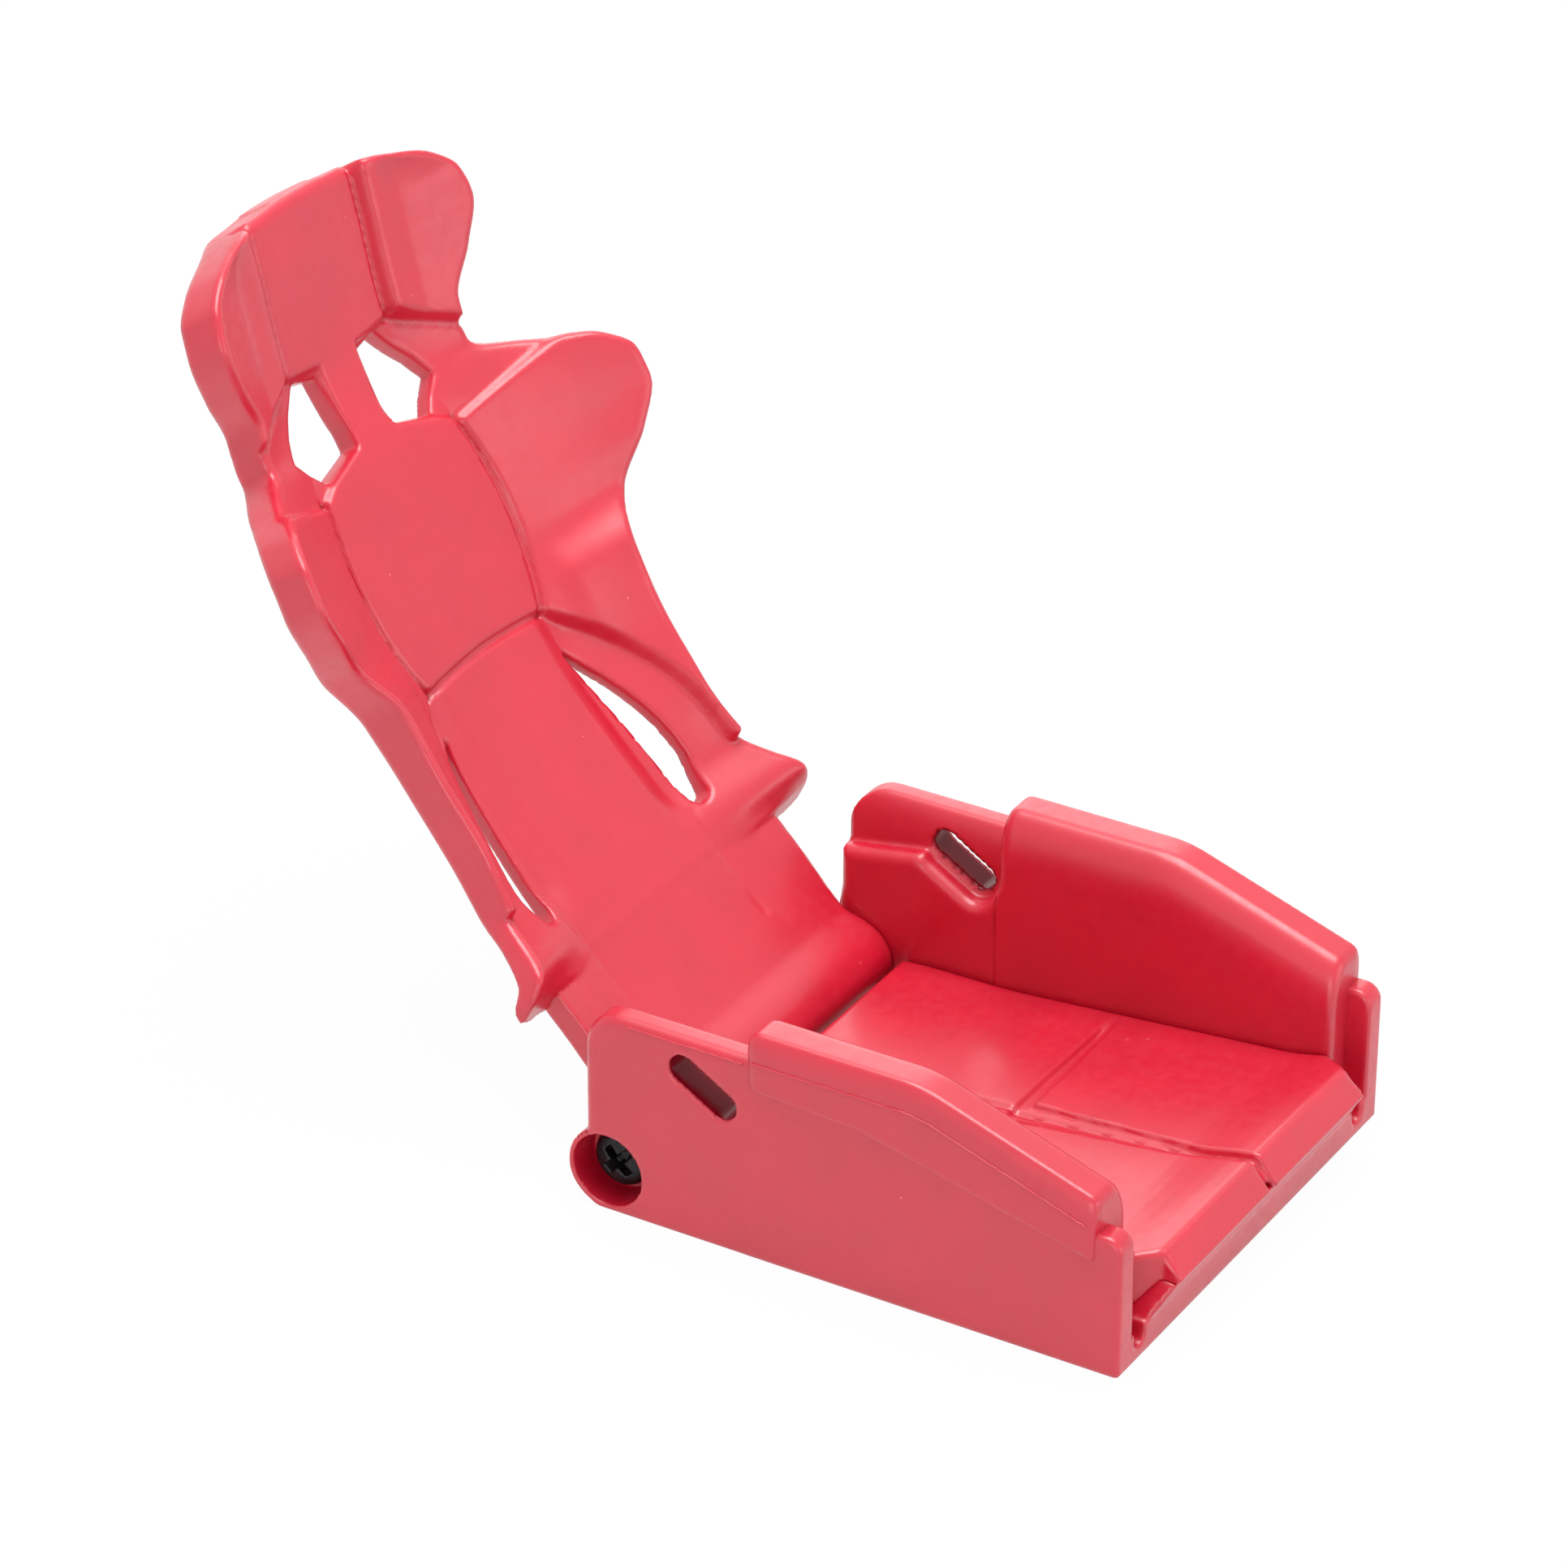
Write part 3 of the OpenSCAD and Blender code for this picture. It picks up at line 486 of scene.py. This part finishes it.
def base_solid(x, y, z):
    x = np.abs(x)
    from_pivot = np.hypot(y - PIVOT_Y, z - PIVOT_Z)
    foot_round = np.hypot(np.maximum(y - PIVOT_Y, 0), np.maximum(PIVOT_Z - z, 0)) - BOSS_R
    # wall behind the bolster
    over_top = z - WALL_TOP
    wall = round_off(round_off(over_top, y - WALL_REAR, WALL_CORNER), x - WALL_HALF, TOP_OUT)
    inner_side = np.maximum(WALL_IN - x, crown(WALL_IN - x, over_top, *TOP_IN))
    wall = np.maximum(round_off(wall, inner_side, WALL_EDGE), WALL_FROM - y)
    # thick lower part with its ledge
    cheek_edge = CHEEK_ROUND * ease(*CHEEK_RISE, z) + CHEEK_SHARP
    cheek = round_off(outline_distance(y, z, LEDGE), CHEEK_X + CHEEK_BACK - x, cheek_edge)
    cheek = np.maximum(cheek, x - WALL_HALF + CHEEK_OUT)
    rear = np.maximum(fillet(wall, cheek, WALL_FILLET), foot_round)
    boss = round_off(from_pivot - BOSS_R, x - WALL_HALF, BOSS_ROUND_OUT)
    boss = round_off(boss, CHEEK_X - x, BOSS_ROUND_IN)
    rear = np.minimum(rear, boss)
    # wall below the bolster, and the front post
    lap = np.interp(y, [p[0] for p in LAP], [p[1] for p in LAP]) + LAP_COVER
    side = np.maximum(round_off(x - WALL_HALF, -y, POST_EDGE), POST_IN - x)
    low_wall = np.maximum(side, np.maximum(z - lap, y - WALL_FROM - 1))
    post = round_off(round_off(z - POST_TOP, -y, POST_NOSE), x - WALL_HALF, POST_EDGE)
    post = np.maximum(round_off(post, POST_IN - x, POST_EDGE_IN), y - POST_BACK)
    body = np.minimum(rear, np.minimum(low_wall, post))
    # floor, front band with its notches, and the lip under the nose
    between = x - POST_IN - OVERLAP
    floor = np.maximum(np.maximum(z - FLOOR_TOP, between), np.maximum(FLOOR_SPAN[0] - y, y - FLOOR_SPAN[1]))
    band = np.maximum(round_off(z - BAND_HIGH, -y, BAND_EDGE), np.maximum(y - BAND_DEEP, between))
    lip_end = (x - np.interp(z, LIP_SLANT_Z, LIP_SLANT_X)) * LIP_SLOPE
    lip = round_off(outline_distance(y, z, LIP_SIDE), lip_end, LIP_EDGE)
    notch = np.where(z < NOTCH_Z, np.hypot(x - NOTCH_X, z - NOTCH_Z), np.abs(x - NOTCH_X)) - NOTCH_R
    front = round_off(np.minimum(band, lip), -notch, NOTCH_EDGE)
    body = np.minimum(body, np.minimum(np.maximum(floor, -notch), front))
    body = round_off(body, -z, SOLE_EDGE)
    # slot, counterbore and bore
    outward = np.clip((x - WALL_IN) / (WALL_HALF - WALL_IN), 0, 1)
    slot = path_distance(y, z, (SLOT_LOW, SLOT_HIGH)) - SLOT_IN - (SLOT_OUT - SLOT_IN) * outward
    body = round_off(body, -slot, SLOT_EDGE)
    body = round_off(body, -np.maximum(from_pivot - COUNTERBORE_R, COUNTERBORE_X - x), COUNTERBORE_EDGE)
    return np.maximum(body, -np.maximum(from_pivot - CLEARANCE_R, CHEEK_X - 1 - x))


def base_recess(x, y, z):
    """1 inside the harness slots, where shade is painted: a darker colour, darkened reflections and rougher walls."""
    x = np.abs(x)
    inside = 1 - ease(0.0, PAINTED_SHADE_SOFT, path_distance(y, z, (SLOT_LOW, SLOT_HIGH)) - SLOT_OUT)
    past_inner = ease(WALL_IN + PAINTED_SHADE_INNER[0], WALL_IN + PAINTED_SHADE_INNER[1], x)
    return inside * past_inner * (1 - ease(WALL_HALF - PAINTED_SHADE_OUTER[0], WALL_HALF - PAINTED_SHADE_OUTER[1], x))


def make_base():
    # the last argument marks the harness slots for painted shade
    return moulded_skin("seat_tub", base_solid, *BASE_SPAN, BASE_STEP, on_base, base_recess)


# ---------------------------------------------------------------- cushion
CUSHION_REAR = 46.8
CUSHION_FRONT_Z, CUSHION_REAR_Z = 9.1, 5.0
CUSHION_DIP = 0.7
CUSHION_NOSE = ((-0.1, 6.2), (-1.9, 6.2), (-2.1, 6.7), (-0.4, 8.9), (0.3, 9.1))
CUSHION_PLAN = ((0.0, 47.0), (19.5, 47.0), (19.5, 2.6), (17.6, -0.2), (17.6, -5.0), (0.0, -5.0))
DISH_FRONT, DISH_REAR = 7, 14             # lengths over which the dip dies out at the two ends
CUSHION_BOTTOM, CUSHION_START = 1.9, 2.2
CUSHION_STATIONS = (0.6, 40)              # first station of the top's outline, and their number
GROOVE_DEEP = 0.5
CROSS_Y = 23.6
STEM = ((-4.0, 0.46), (4.7, 0.46), (9.9, 0.84), (16.0, 1.05), (22.7, 1.4), (23.6, 1.4))
STEM_SHARP, STEM_SOFT, STEM_END = (-0.15, 0.05), (-0.7, 0.25), 0.1
BAR_REACH, BAR_HALF = (6.0, 19.0), (0.72, 0.45)
BAR_EDGE, BAR_FADE = (-0.25, 0.1), (14.5, 18.6)
CUSHION_SHARP, CUSHION_ROUND, CUSHION_RISE = 0.1, 0.6, (-2.2, -1.0)
CUSHION_SPAN = ((-20.0, -2.6, 1.5), (20.0, 47.4, 9.7))


def cushion_top(y):
    depth_in = np.clip(np.minimum(y / DISH_FRONT, (CUSHION_REAR - y) / DISH_REAR), 0, 1)
    dish = CUSHION_DIP * (1 - np.cos(np.pi * depth_in)) / 2
    return CUSHION_FRONT_Z - (CUSHION_FRONT_Z - CUSHION_REAR_Z) / CUSHION_REAR * y - dish


def cushion_outline():
    """Side outline of the cushion: round the nose, back along the top and down at the rear."""
    first, count = CUSHION_STATIONS
    top = [(y, float(cushion_top(y))) for y in np.linspace(first, CUSHION_REAR, count)]
    under_nose = [(CUSHION_START, CUSHION_BOTTOM), (CUSHION_START, 3.1)]
    return under_nose + list(CUSHION_NOSE) + top + [(CUSHION_REAR, CUSHION_BOTTOM)]


CUSHION_SIDE = cushion_outline()


def cushion_solid(x, y, z):
    stem = np.interp(y, [p[0] for p in STEM], [p[1] for p in STEM])
    groove = (1 - ease(*STEM_SHARP, x - stem)) * ease(*STEM_SOFT, x + stem)
    groove = groove * (1 - ease(CROSS_Y - STEM_END, CROSS_Y + STEM_END, y))
    x = np.abs(x)
    bar = np.interp(x, BAR_REACH, BAR_HALF)
    cross = (1 - ease(*BAR_EDGE, np.abs(y - CROSS_Y) - bar)) * (1 - ease(*BAR_FADE, x))
    sunk = GROOVE_DEEP * np.maximum(groove, cross)
    body = outline_distance(y, z, CUSHION_SIDE) + sunk
    edge = CUSHION_SHARP + CUSHION_ROUND * ease(*CUSHION_RISE, z - cushion_top(y))
    return round_off(body, outline_distance(x, y, CUSHION_PLAN), edge)


def make_cushion():
    return moulded_skin("seat_pad", cushion_solid, *CUSHION_SPAN, CUSHION_STEP, on_base)


# ---------------------------------------------------------------- screws
HEAD_SEAT, HEAD_TOP, HEAD_R = 21.25, 23.25, 2.8
HEAD_CROWN = 0.075
SHAFT_R, SHAFT_END = 1.5, 11.25
HEAD_EDGE_ROUND, CROSS_EDGE, SHAFT_EDGE = 0.6, 0.1, 0.4
RECESS_DEEP = 1.45
ARM_HALF, ARM_REACH = (0.5, 0.15), (1.75, 0.5)      # the cross's arms at the top, and how fast they narrow
SHAFT_IN_HEAD = 0.1
SCREW_REACH, SCREW_SPAN = (11.0, 23.5), 3.0


def screw_solid(x, y, z):
    x = np.abs(x)
    r = np.hypot(y, z)
    head = round_off(r - HEAD_R, x - HEAD_TOP + HEAD_CROWN * r * r, HEAD_EDGE_ROUND)
    head = np.maximum(head, HEAD_SEAT - x)
    deep = np.clip(HEAD_TOP - x, 0, None)
    wide, reach = ARM_HALF[0] - ARM_HALF[1] * deep, ARM_REACH[0] - ARM_REACH[1] * deep
    a, b = np.abs(y + z) / math.sqrt(2), np.abs(z - y) / math.sqrt(2)
    cross = np.minimum(np.maximum(a - wide, b - reach), np.maximum(b - wide, a - reach))
    cross = np.maximum(cross, HEAD_TOP - RECESS_DEEP - x)
    shaft = np.maximum(round_off(r - SHAFT_R, SHAFT_END - x, SHAFT_EDGE), x - HEAD_SEAT - SHAFT_IN_HEAD)
    return np.minimum(round_off(head, -cross, CROSS_EDGE), shaft)


def on_pivot(x, y, z):
    return x, y + PIVOT_Y + SEAT_SHIFT, z + PIVOT_Z


def make_screw(side):
    low, high = sorted(side * end for end in SCREW_REACH)
    corners = (low, -SCREW_SPAN, -SCREW_SPAN), (high, SCREW_SPAN, SCREW_SPAN)
    name = "screw_left" if side > 0 else "screw_right"
    return moulded_skin(name, screw_solid, *corners, SCREW_STEP, on_pivot)


# ---------------------------------------------------------------- materials
ROUGH = (0.38, 0.5)
# colour of the painted shade inside the harness slots
PAINTED_SHADE_TONE = (0.32, 0.001, 0.018, 1)
NOISE_MIDDLE = (0.3, 0.7)                 # the part of a noise's range that is used
SPECK_TONE = (0.9, 0.35, 0.36, 1)
SPECK_EDGE, SPECK_PATCH, SPECK_SHARE = (0.035, 0.075), (0.6, 0.66), 0.35
STEEL_ROUGH = (0.22, 0.42)


def new_material(name):
    m = bpy.data.materials.new(name)
    m.use_nodes = True
    m.node_tree.nodes.clear()
    return m, m.node_tree


def node(tree, kind, **settings):
    n = tree.nodes.new(kind)
    for key, value in settings.items():
        if key in n.inputs:
            n.inputs[key].default_value = value
        else:
            setattr(n, key, value)
    return n


def spread(tree, source, low, high, to_low, to_high):
    """A value mapped from one range to another and held there."""
    n = node(tree, "ShaderNodeMapRange", clamp=True)
    for key, value in (("From Min", low), ("From Max", high), ("To Min", to_low), ("To Max", to_high)):
        n.inputs[key].default_value = value
    tree.links.new(source, n.inputs["Value"])
    return n


def seen_directly(tree):
    """1 for the camera, for reflections and through clear parts, 0 for soft light."""
    path = node(tree, "ShaderNodeLightPath")
    first = node(tree, "ShaderNodeMath", operation="MAXIMUM")
    both = node(tree, "ShaderNodeMath", operation="MAXIMUM")
    tree.links.new(path.outputs["Is Camera Ray"], first.inputs[0])
    tree.links.new(path.outputs["Is Glossy Ray"], first.inputs[1])
    tree.links.new(first.outputs["Value"], both.inputs[0])
    tree.links.new(path.outputs["Is Transmission Ray"], both.inputs[1])
    return both.outputs["Value"]


def moulded_red(name, tone, seed):
    """Satin red plastic: a faint mottle, a fine grain, a few pale specks and softly worn high spots, and painted
    shade where a skin marks its slots.
    """
    m, t = new_material(name)
    place = node(t, "ShaderNodeTexCoord")
    shift = node(t, "ShaderNodeMapping")
    shift.inputs["Location"].default_value = (seed * 0.031, seed * 0.017, seed * 0.023)
    t.links.new(place.outputs["Object"], shift.inputs["Vector"])
    mottle = node(t, "ShaderNodeTexNoise", Scale=140.0, Detail=4.0, Roughness=0.55)
    grain = node(t, "ShaderNodeTexNoise", Scale=5200.0, Detail=2.0, Roughness=0.6)
    flow = node(t, "ShaderNodeTexNoise", Scale=900.0, Detail=3.0, Roughness=0.5)
    specks = node(t, "ShaderNodeTexVoronoi", Scale=420.0, Randomness=1.0)
    for texture in (mottle, grain, flow, specks):
        t.links.new(shift.outputs["Vector"], texture.inputs["Vector"])
    tint = node(t, "ShaderNodeValToRGB")
    tint.color_ramp.elements[0].position = 0.35
    tint.color_ramp.elements[0].color = (*[c * 0.95 for c in tone], 1)
    tint.color_ramp.elements[1].position = 0.68
    tint.color_ramp.elements[1].color = (*[min(1, c * 1.05) for c in tone], 1)
    t.links.new(mottle.outputs["Fac"], tint.inputs["Fac"])
    spot = spread(t, specks.outputs["Distance"], *SPECK_EDGE, 1.0, 0.0)
    rare = spread(t, flow.outputs["Fac"], *SPECK_PATCH, 0.0, SPECK_SHARE)
    some = node(t, "ShaderNodeMath", operation="MULTIPLY")
    t.links.new(spot.outputs["Result"], some.inputs[0])
    t.links.new(rare.outputs["Result"], some.inputs[1])
    speckled = node(t, "ShaderNodeMix", data_type="RGBA")
    t.links.new(some.outputs["Value"], speckled.inputs["Factor"])
    t.links.new(tint.outputs["Color"], speckled.inputs["A"])
    speckled.inputs["B"].default_value = SPECK_TONE
    rough = spread(t, flow.outputs["Fac"], *NOISE_MIDDLE, *ROUGH)
    both = node(t, "ShaderNodeMath", operation="MULTIPLY_ADD")
    both.inputs[1].default_value = 0.35
    t.links.new(grain.outputs["Fac"], both.inputs[0])
    t.links.new(flow.outputs["Fac"], both.inputs[2])
    bump = node(t, "ShaderNodeBump", Strength=0.25, Distance=0.00004)
    t.links.new(both.outputs["Value"], bump.inputs["Height"])
    shader = node(t, "ShaderNodeBsdfPrincipled")
    shader.inputs["Specular IOR Level"].default_value = 0.75
    shader.inputs["Coat Weight"].default_value = 0.5
    shader.inputs["Coat Roughness"].default_value = 0.2
    shader.inputs["IOR"].default_value = 1.5
    shader.inputs["Subsurface Weight"].default_value = 0.05
    shader.inputs["Subsurface Radius"].default_value = (1.0, 0.12, 0.1)
    shader.inputs["Subsurface Scale"].default_value = 0.0012
    # painted shade: where the attribute is 1, the colour goes to the dark tone, the surface turns metallic so its
    # reflections take that dark colour, and roughness goes to 1
    shade = node(t, "ShaderNodeAttribute", attribute_name="recess")
    sunk = node(t, "ShaderNodeMix", data_type="RGBA")
    sunk.inputs["B"].default_value = PAINTED_SHADE_TONE
    t.links.new(shade.outputs["Fac"], sunk.inputs["Factor"])
    t.links.new(speckled.outputs["Result"], sunk.inputs["A"])
    dull = node(t, "ShaderNodeMath", operation="MAXIMUM")
    t.links.new(shade.outputs["Fac"], dull.inputs[0])
    t.links.new(shade.outputs["Fac"], shader.inputs["Metallic"])
    t.links.new(rough.outputs["Result"], dull.inputs[1])
    t.links.new(sunk.outputs["Result"], shader.inputs["Base Color"])
    t.links.new(dull.outputs["Value"], shader.inputs["Roughness"])
    t.links.new(bump.outputs["Normal"], shader.inputs["Normal"])
    out = node(t, "ShaderNodeOutputMaterial")
    t.links.new(shader.outputs["BSDF"], out.inputs["Surface"])
    return m


def blacked_steel(name):
    m, t = new_material(name)
    place = node(t, "ShaderNodeTexCoord")
    wear = node(t, "ShaderNodeTexNoise", Scale=1800.0, Detail=5.0, Roughness=0.65)
    t.links.new(place.outputs["Object"], wear.inputs["Vector"])
    tint = node(t, "ShaderNodeValToRGB")
    tint.color_ramp.elements[0].position = 0.4
    tint.color_ramp.elements[0].color = (0.008, 0.008, 0.009, 1)
    tint.color_ramp.elements[1].position = 0.75
    tint.color_ramp.elements[1].color = (0.03, 0.03, 0.033, 1)
    t.links.new(wear.outputs["Fac"], tint.inputs["Fac"])
    rough = spread(t, wear.outputs["Fac"], *NOISE_MIDDLE, *STEEL_ROUGH)
    bump = node(t, "ShaderNodeBump", Strength=0.3, Distance=0.00003)
    t.links.new(wear.outputs["Fac"], bump.inputs["Height"])
    shader = node(t, "ShaderNodeBsdfPrincipled")
    shader.inputs["Metallic"].default_value = 0.6
    t.links.new(tint.outputs["Color"], shader.inputs["Base Color"])
    t.links.new(rough.outputs["Result"], shader.inputs["Roughness"])
    t.links.new(bump.outputs["Normal"], shader.inputs["Normal"])
    out = node(t, "ShaderNodeOutputMaterial")
    t.links.new(shader.outputs["BSDF"], out.inputs["Surface"])
    return m


def plain_backdrop(name):
    """White to the camera, to reflections and through clear parts; keeps the object's soft shadow."""
    m, t = new_material(name)
    lit = node(t, "ShaderNodeBsdfDiffuse", Color=(0.8, 0.8, 0.8, 1))
    glow = node(t, "ShaderNodeEmission", Strength=1.0)
    mix = node(t, "ShaderNodeMixShader")
    share = node(t, "ShaderNodeMath", operation="MULTIPLY")
    share.inputs[1].default_value = 0.97
    t.links.new(seen_directly(t), share.inputs[0])
    t.links.new(share.outputs["Value"], mix.inputs["Fac"])
    t.links.new(lit.outputs["BSDF"], mix.inputs[1])
    t.links.new(glow.outputs["Emission"], mix.inputs[2])
    out = node(t, "ShaderNodeOutputMaterial")
    t.links.new(mix.outputs["Shader"], out.inputs["Surface"])
    return m


SHELL_TONE = (0.56, 0.001, 0.024)
PAD_TONE = (0.56, 0.001, 0.024)
shell_plastic = moulded_red("shell_plastic_red", SHELL_TONE, 1)
pad_plastic = moulded_red("pad_plastic_red", PAD_TONE, 2)
screw_black = blacked_steel("screw_black")


def dress(piece, material, body, slot, *nodes):
    """Gives a finished piece its material and its body, and hides the frame nodes that it stands for; slot is not
    used.
    """
    mesh = piece.data
    mesh.materials.clear()
    mesh.materials.append(material)
    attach(piece, body)
    if nodes:
        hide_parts(*nodes)
    return piece


# ---------------------------------------------------------------- flash along the parting lines
BEAD_RADIUS = 0.07 * MM
BEAD_SPACING = 0.35 * MM
BEAD_WANDER = 0.16 * MM
BEAD_SWELL = 0.07 * MM
BEAD_WAVES = 900.0


def noise_push(tree, geometry, strength, waves, flat):
    """Moves a geometry's points by a noise read at their place: freely if flat, else along their normals."""
    where = node(tree, "GeometryNodeInputPosition")
    noise = node(tree, "ShaderNodeTexNoise", Detail=2.0)
    centred = node(tree, "ShaderNodeVectorMath", operation="SUBTRACT")
    centred.inputs[1].default_value = (0.5, 0.5, 0.5)
    push = node(tree, "ShaderNodeVectorMath", operation="SCALE")
    moved = node(tree, "GeometryNodeSetPosition")
    tree.links.new(where.outputs["Position"], noise.inputs["Vector"])
    tree.links.new(waves, noise.inputs["Scale"])
    tree.links.new(strength, push.inputs["Scale"])
    if flat:
        tree.links.new(noise.outputs["Color"], centred.inputs[0])
        tree.links.new(centred.outputs["Vector"], push.inputs[0])
    else:
        outward = node(tree, "ShaderNodeVectorMath", operation="MULTIPLY")
        tree.links.new(node(tree, "GeometryNodeInputNormal").outputs["Normal"], outward.inputs[0])
        tree.links.new(noise.outputs["Color"], outward.inputs[1])
        tree.links.new(outward.outputs["Vector"], push.inputs[0])
    tree.links.new(geometry, moved.inputs["Geometry"])
    tree.links.new(push.outputs["Vector"], moved.inputs["Offset"])
    return moved.outputs["Geometry"]


def bead_group(material):
    """Node group that turns lines into a fine, uneven bead of flash."""
    g = bpy.data.node_groups.new("parting_bead", "GeometryNodeTree")
    g.interface.new_socket("Lines", in_out="INPUT", socket_type="NodeSocketGeometry")
    keys = {}
    for label in ("Bead radius", "Point spacing", "Wander", "Swell", "Waves"):
        keys[label] = g.interface.new_socket(label, in_out="INPUT", socket_type="NodeSocketFloat").identifier
    g.interface.new_socket("Bead", in_out="OUTPUT", socket_type="NodeSocketGeometry")
    start, end = node(g, "NodeGroupInput"), node(g, "NodeGroupOutput")
    curve = node(g, "GeometryNodeMeshToCurve")
    even = node(g, "GeometryNodeResampleCurve", mode="LENGTH")
    ring = node(g, "GeometryNodeCurvePrimitiveCircle", Resolution=8)
    tube = node(g, "GeometryNodeCurveToMesh")
    tube.inputs["Fill Caps"].default_value = True
    solid = node(g, "GeometryNodeRealizeInstances")
    paint = node(g, "GeometryNodeSetMaterial", Material=material)
    g.links.new(start.outputs["Lines"], curve.inputs["Mesh"])
    g.links.new(curve.outputs["Curve"], even.inputs["Curve"])
    g.links.new(start.outputs["Point spacing"], even.inputs["Length"])
    wavy = noise_push(g, even.outputs["Curve"], start.outputs["Wander"], start.outputs["Waves"], True)
    g.links.new(start.outputs["Bead radius"], ring.inputs["Radius"])
    g.links.new(wavy, tube.inputs["Curve"])
    g.links.new(ring.outputs["Curve"], tube.inputs["Profile Curve"])
    uneven = noise_push(g, tube.outputs["Mesh"], start.outputs["Swell"], start.outputs["Waves"], False)
    g.links.new(uneven, solid.inputs["Geometry"])
    g.links.new(solid.outputs["Geometry"], paint.inputs["Geometry"])
    g.links.new(paint.outputs["Geometry"], end.inputs["Bead"])
    return g, keys


def flash_paths():
    """Lines on the base where the mould's halves met: along the bolsters and along the tops of the walls."""
    along = np.linspace(BOLSTER_FRONT + 0.9, BOLSTER_REAR - 0.8, 60)
    behind = np.linspace(BOLSTER_REAR + 0.3, WALL_REAR - WALL_CORNER - 0.6, 30)
    for side in (-1, 1):
        yield [(side * (BOLSTER_OUT - PARTING_STEP / 2), y, float(bolster_top(y)) - CREST_OUT[1]) for y in along]
        yield [(side * (WALL_HALF - 0.03), y, WALL_TOP - 0.7) for y in behind]


def make_flash(material):
    points, edges = [], []
    for line in flash_paths():
        edges += [(len(points) + i, len(points) + i + 1) for i in range(len(line) - 1)]
        points += [tuple(c * MM for c in on_base(*p)) for p in line]
    mesh = bpy.data.meshes.new("flash_lines")
    mesh.from_pydata(points, edges, [])
    carrier = bpy.data.objects.new("flash_lines", mesh)
    bpy.context.scene.collection.objects.link(carrier)
    grow = carrier.modifiers.new("parting_bead", "NODES")
    grow.node_group, keys = bead_group(material)
    for label, value in (("Bead radius", BEAD_RADIUS), ("Point spacing", BEAD_SPACING), ("Wander", BEAD_WANDER),
                         ("Swell", BEAD_SWELL), ("Waves", BEAD_WAVES)):
        grow[keys[label]] = value
    view = bpy.context.evaluated_depsgraph_get()
    bead = bpy.data.meshes.new_from_object(carrier.evaluated_get(view))
    bpy.data.objects.remove(carrier)
    bead.shade_smooth()
    piece = bpy.data.objects.new("parting_flash", bead)
    bpy.context.scene.collection.objects.link(piece)
    return piece


dress(make_back(), shell_plastic, "back", "shell_plastic", "backrest")
dress(make_bolster(1), pad_plastic, "base", "pad_plastic", "bolster_left")
dress(make_bolster(-1), pad_plastic, "base", "pad_plastic", "bolster_right")
dress(make_base(), shell_plastic, "base", "shell_plastic", "seat_base")
dress(make_cushion(), pad_plastic, "base", "pad_plastic", "seat_cushion")
dress(make_flash(pad_plastic), pad_plastic, "base", "pad_plastic")
dress(make_screw(1), screw_black, "back", "screw_steel", "pivot_screw_left")
dress(make_screw(-1), screw_black, "back", "screw_steel", "pivot_screw_right")

# ---------------------------------------------------------------- stage, light and camera
FLOOR_GAP = 0.05 * MM
scene = bpy.context.scene
floor_mesh = bpy.data.meshes.new("floor")
floor_mesh.from_pydata([(-3, -3, 0), (3, -3, 0), (3, 3, 0), (-3, 3, 0)], [], [(0, 1, 2, 3)])
floor = bpy.data.objects.new("floor", floor_mesh)
floor_mesh.materials.append(plain_backdrop("pale_floor"))
floor.location.z = cad_box[0][2] - FLOOR_GAP
scene.collection.objects.link(floor)

world = bpy.data.worlds.new("studio")
world.use_nodes = True
scene.world = world
wt = world.node_tree
wt.nodes.clear()
dim = node(wt, "ShaderNodeBackground", Color=(1, 1, 1, 1), Strength=0.6)
bright = node(wt, "ShaderNodeBackground", Color=(1, 1, 1, 1), Strength=1.0)
mix = node(wt, "ShaderNodeMixShader")
wt.links.new(seen_directly(wt), mix.inputs["Fac"])
wt.links.new(dim.outputs["Background"], mix.inputs[1])
wt.links.new(bright.outputs["Background"], mix.inputs[2])
wt.links.new(mix.outputs["Shader"], node(wt, "ShaderNodeOutputWorld").inputs["Surface"])


def softbox(name, where, target, size, power):
    data = bpy.data.lights.new(name, "AREA")
    data.shape = "DISK"
    data.size = size
    data.energy = power
    lamp = bpy.data.objects.new(name, data)
    lamp.location = where
    lamp.rotation_euler = (Vector(target) - Vector(where)).to_track_quat("-Z", "Y").to_euler()
    scene.collection.objects.link(lamp)


MIDDLE = (0.0, 0.02, 0.03)
softbox("key_light", (0.0, 0.02, 0.65), MIDDLE, 0.5, 4.2)
softbox("rear_light", (0.66, 0.42, 0.42), MIDDLE, 0.6, 1.3)
softbox("front_light", (0.0, -0.65, 0.06), MIDDLE, 0.6, 1.3)
softbox("side_light", (-0.6, -0.15, 0.03), MIDDLE, 0.4, 1.0)

CAMERA_AT = Vector((-0.43453, -0.23676, 0.31668))
VIEW_AZIMUTH, VIEW_ELEVATION, VIEW_ROLL = math.radians(-59.29), math.radians(29.34), math.radians(0.27)
FRAME_WIDTH = 1932
FOCAL_PIXELS = 7981.36
SENSOR = 36.0
camera_data = bpy.data.cameras.new("camera")
camera_data.sensor_fit = "HORIZONTAL"
camera_data.sensor_width = SENSOR
camera_data.lens = SENSOR * FOCAL_PIXELS / FRAME_WIDTH
camera_data.clip_start = 0.01
camera = bpy.data.objects.new("camera", camera_data)
level = math.cos(VIEW_ELEVATION)
towards = Vector((math.sin(VIEW_AZIMUTH) * level, -math.cos(VIEW_AZIMUTH) * level, math.sin(VIEW_ELEVATION)))
right = Vector((0, 0, 1)).cross(towards).normalized()
up = towards.cross(right)
turn = Matrix((right, up, towards)).transposed() @ Matrix.Rotation(VIEW_ROLL, 3, "Z")
camera.matrix_world = Matrix.Translation(CAMERA_AT) @ turn.to_4x4()
scene.collection.objects.link(camera)
scene.camera = camera
scene.view_settings.view_transform = "Standard"
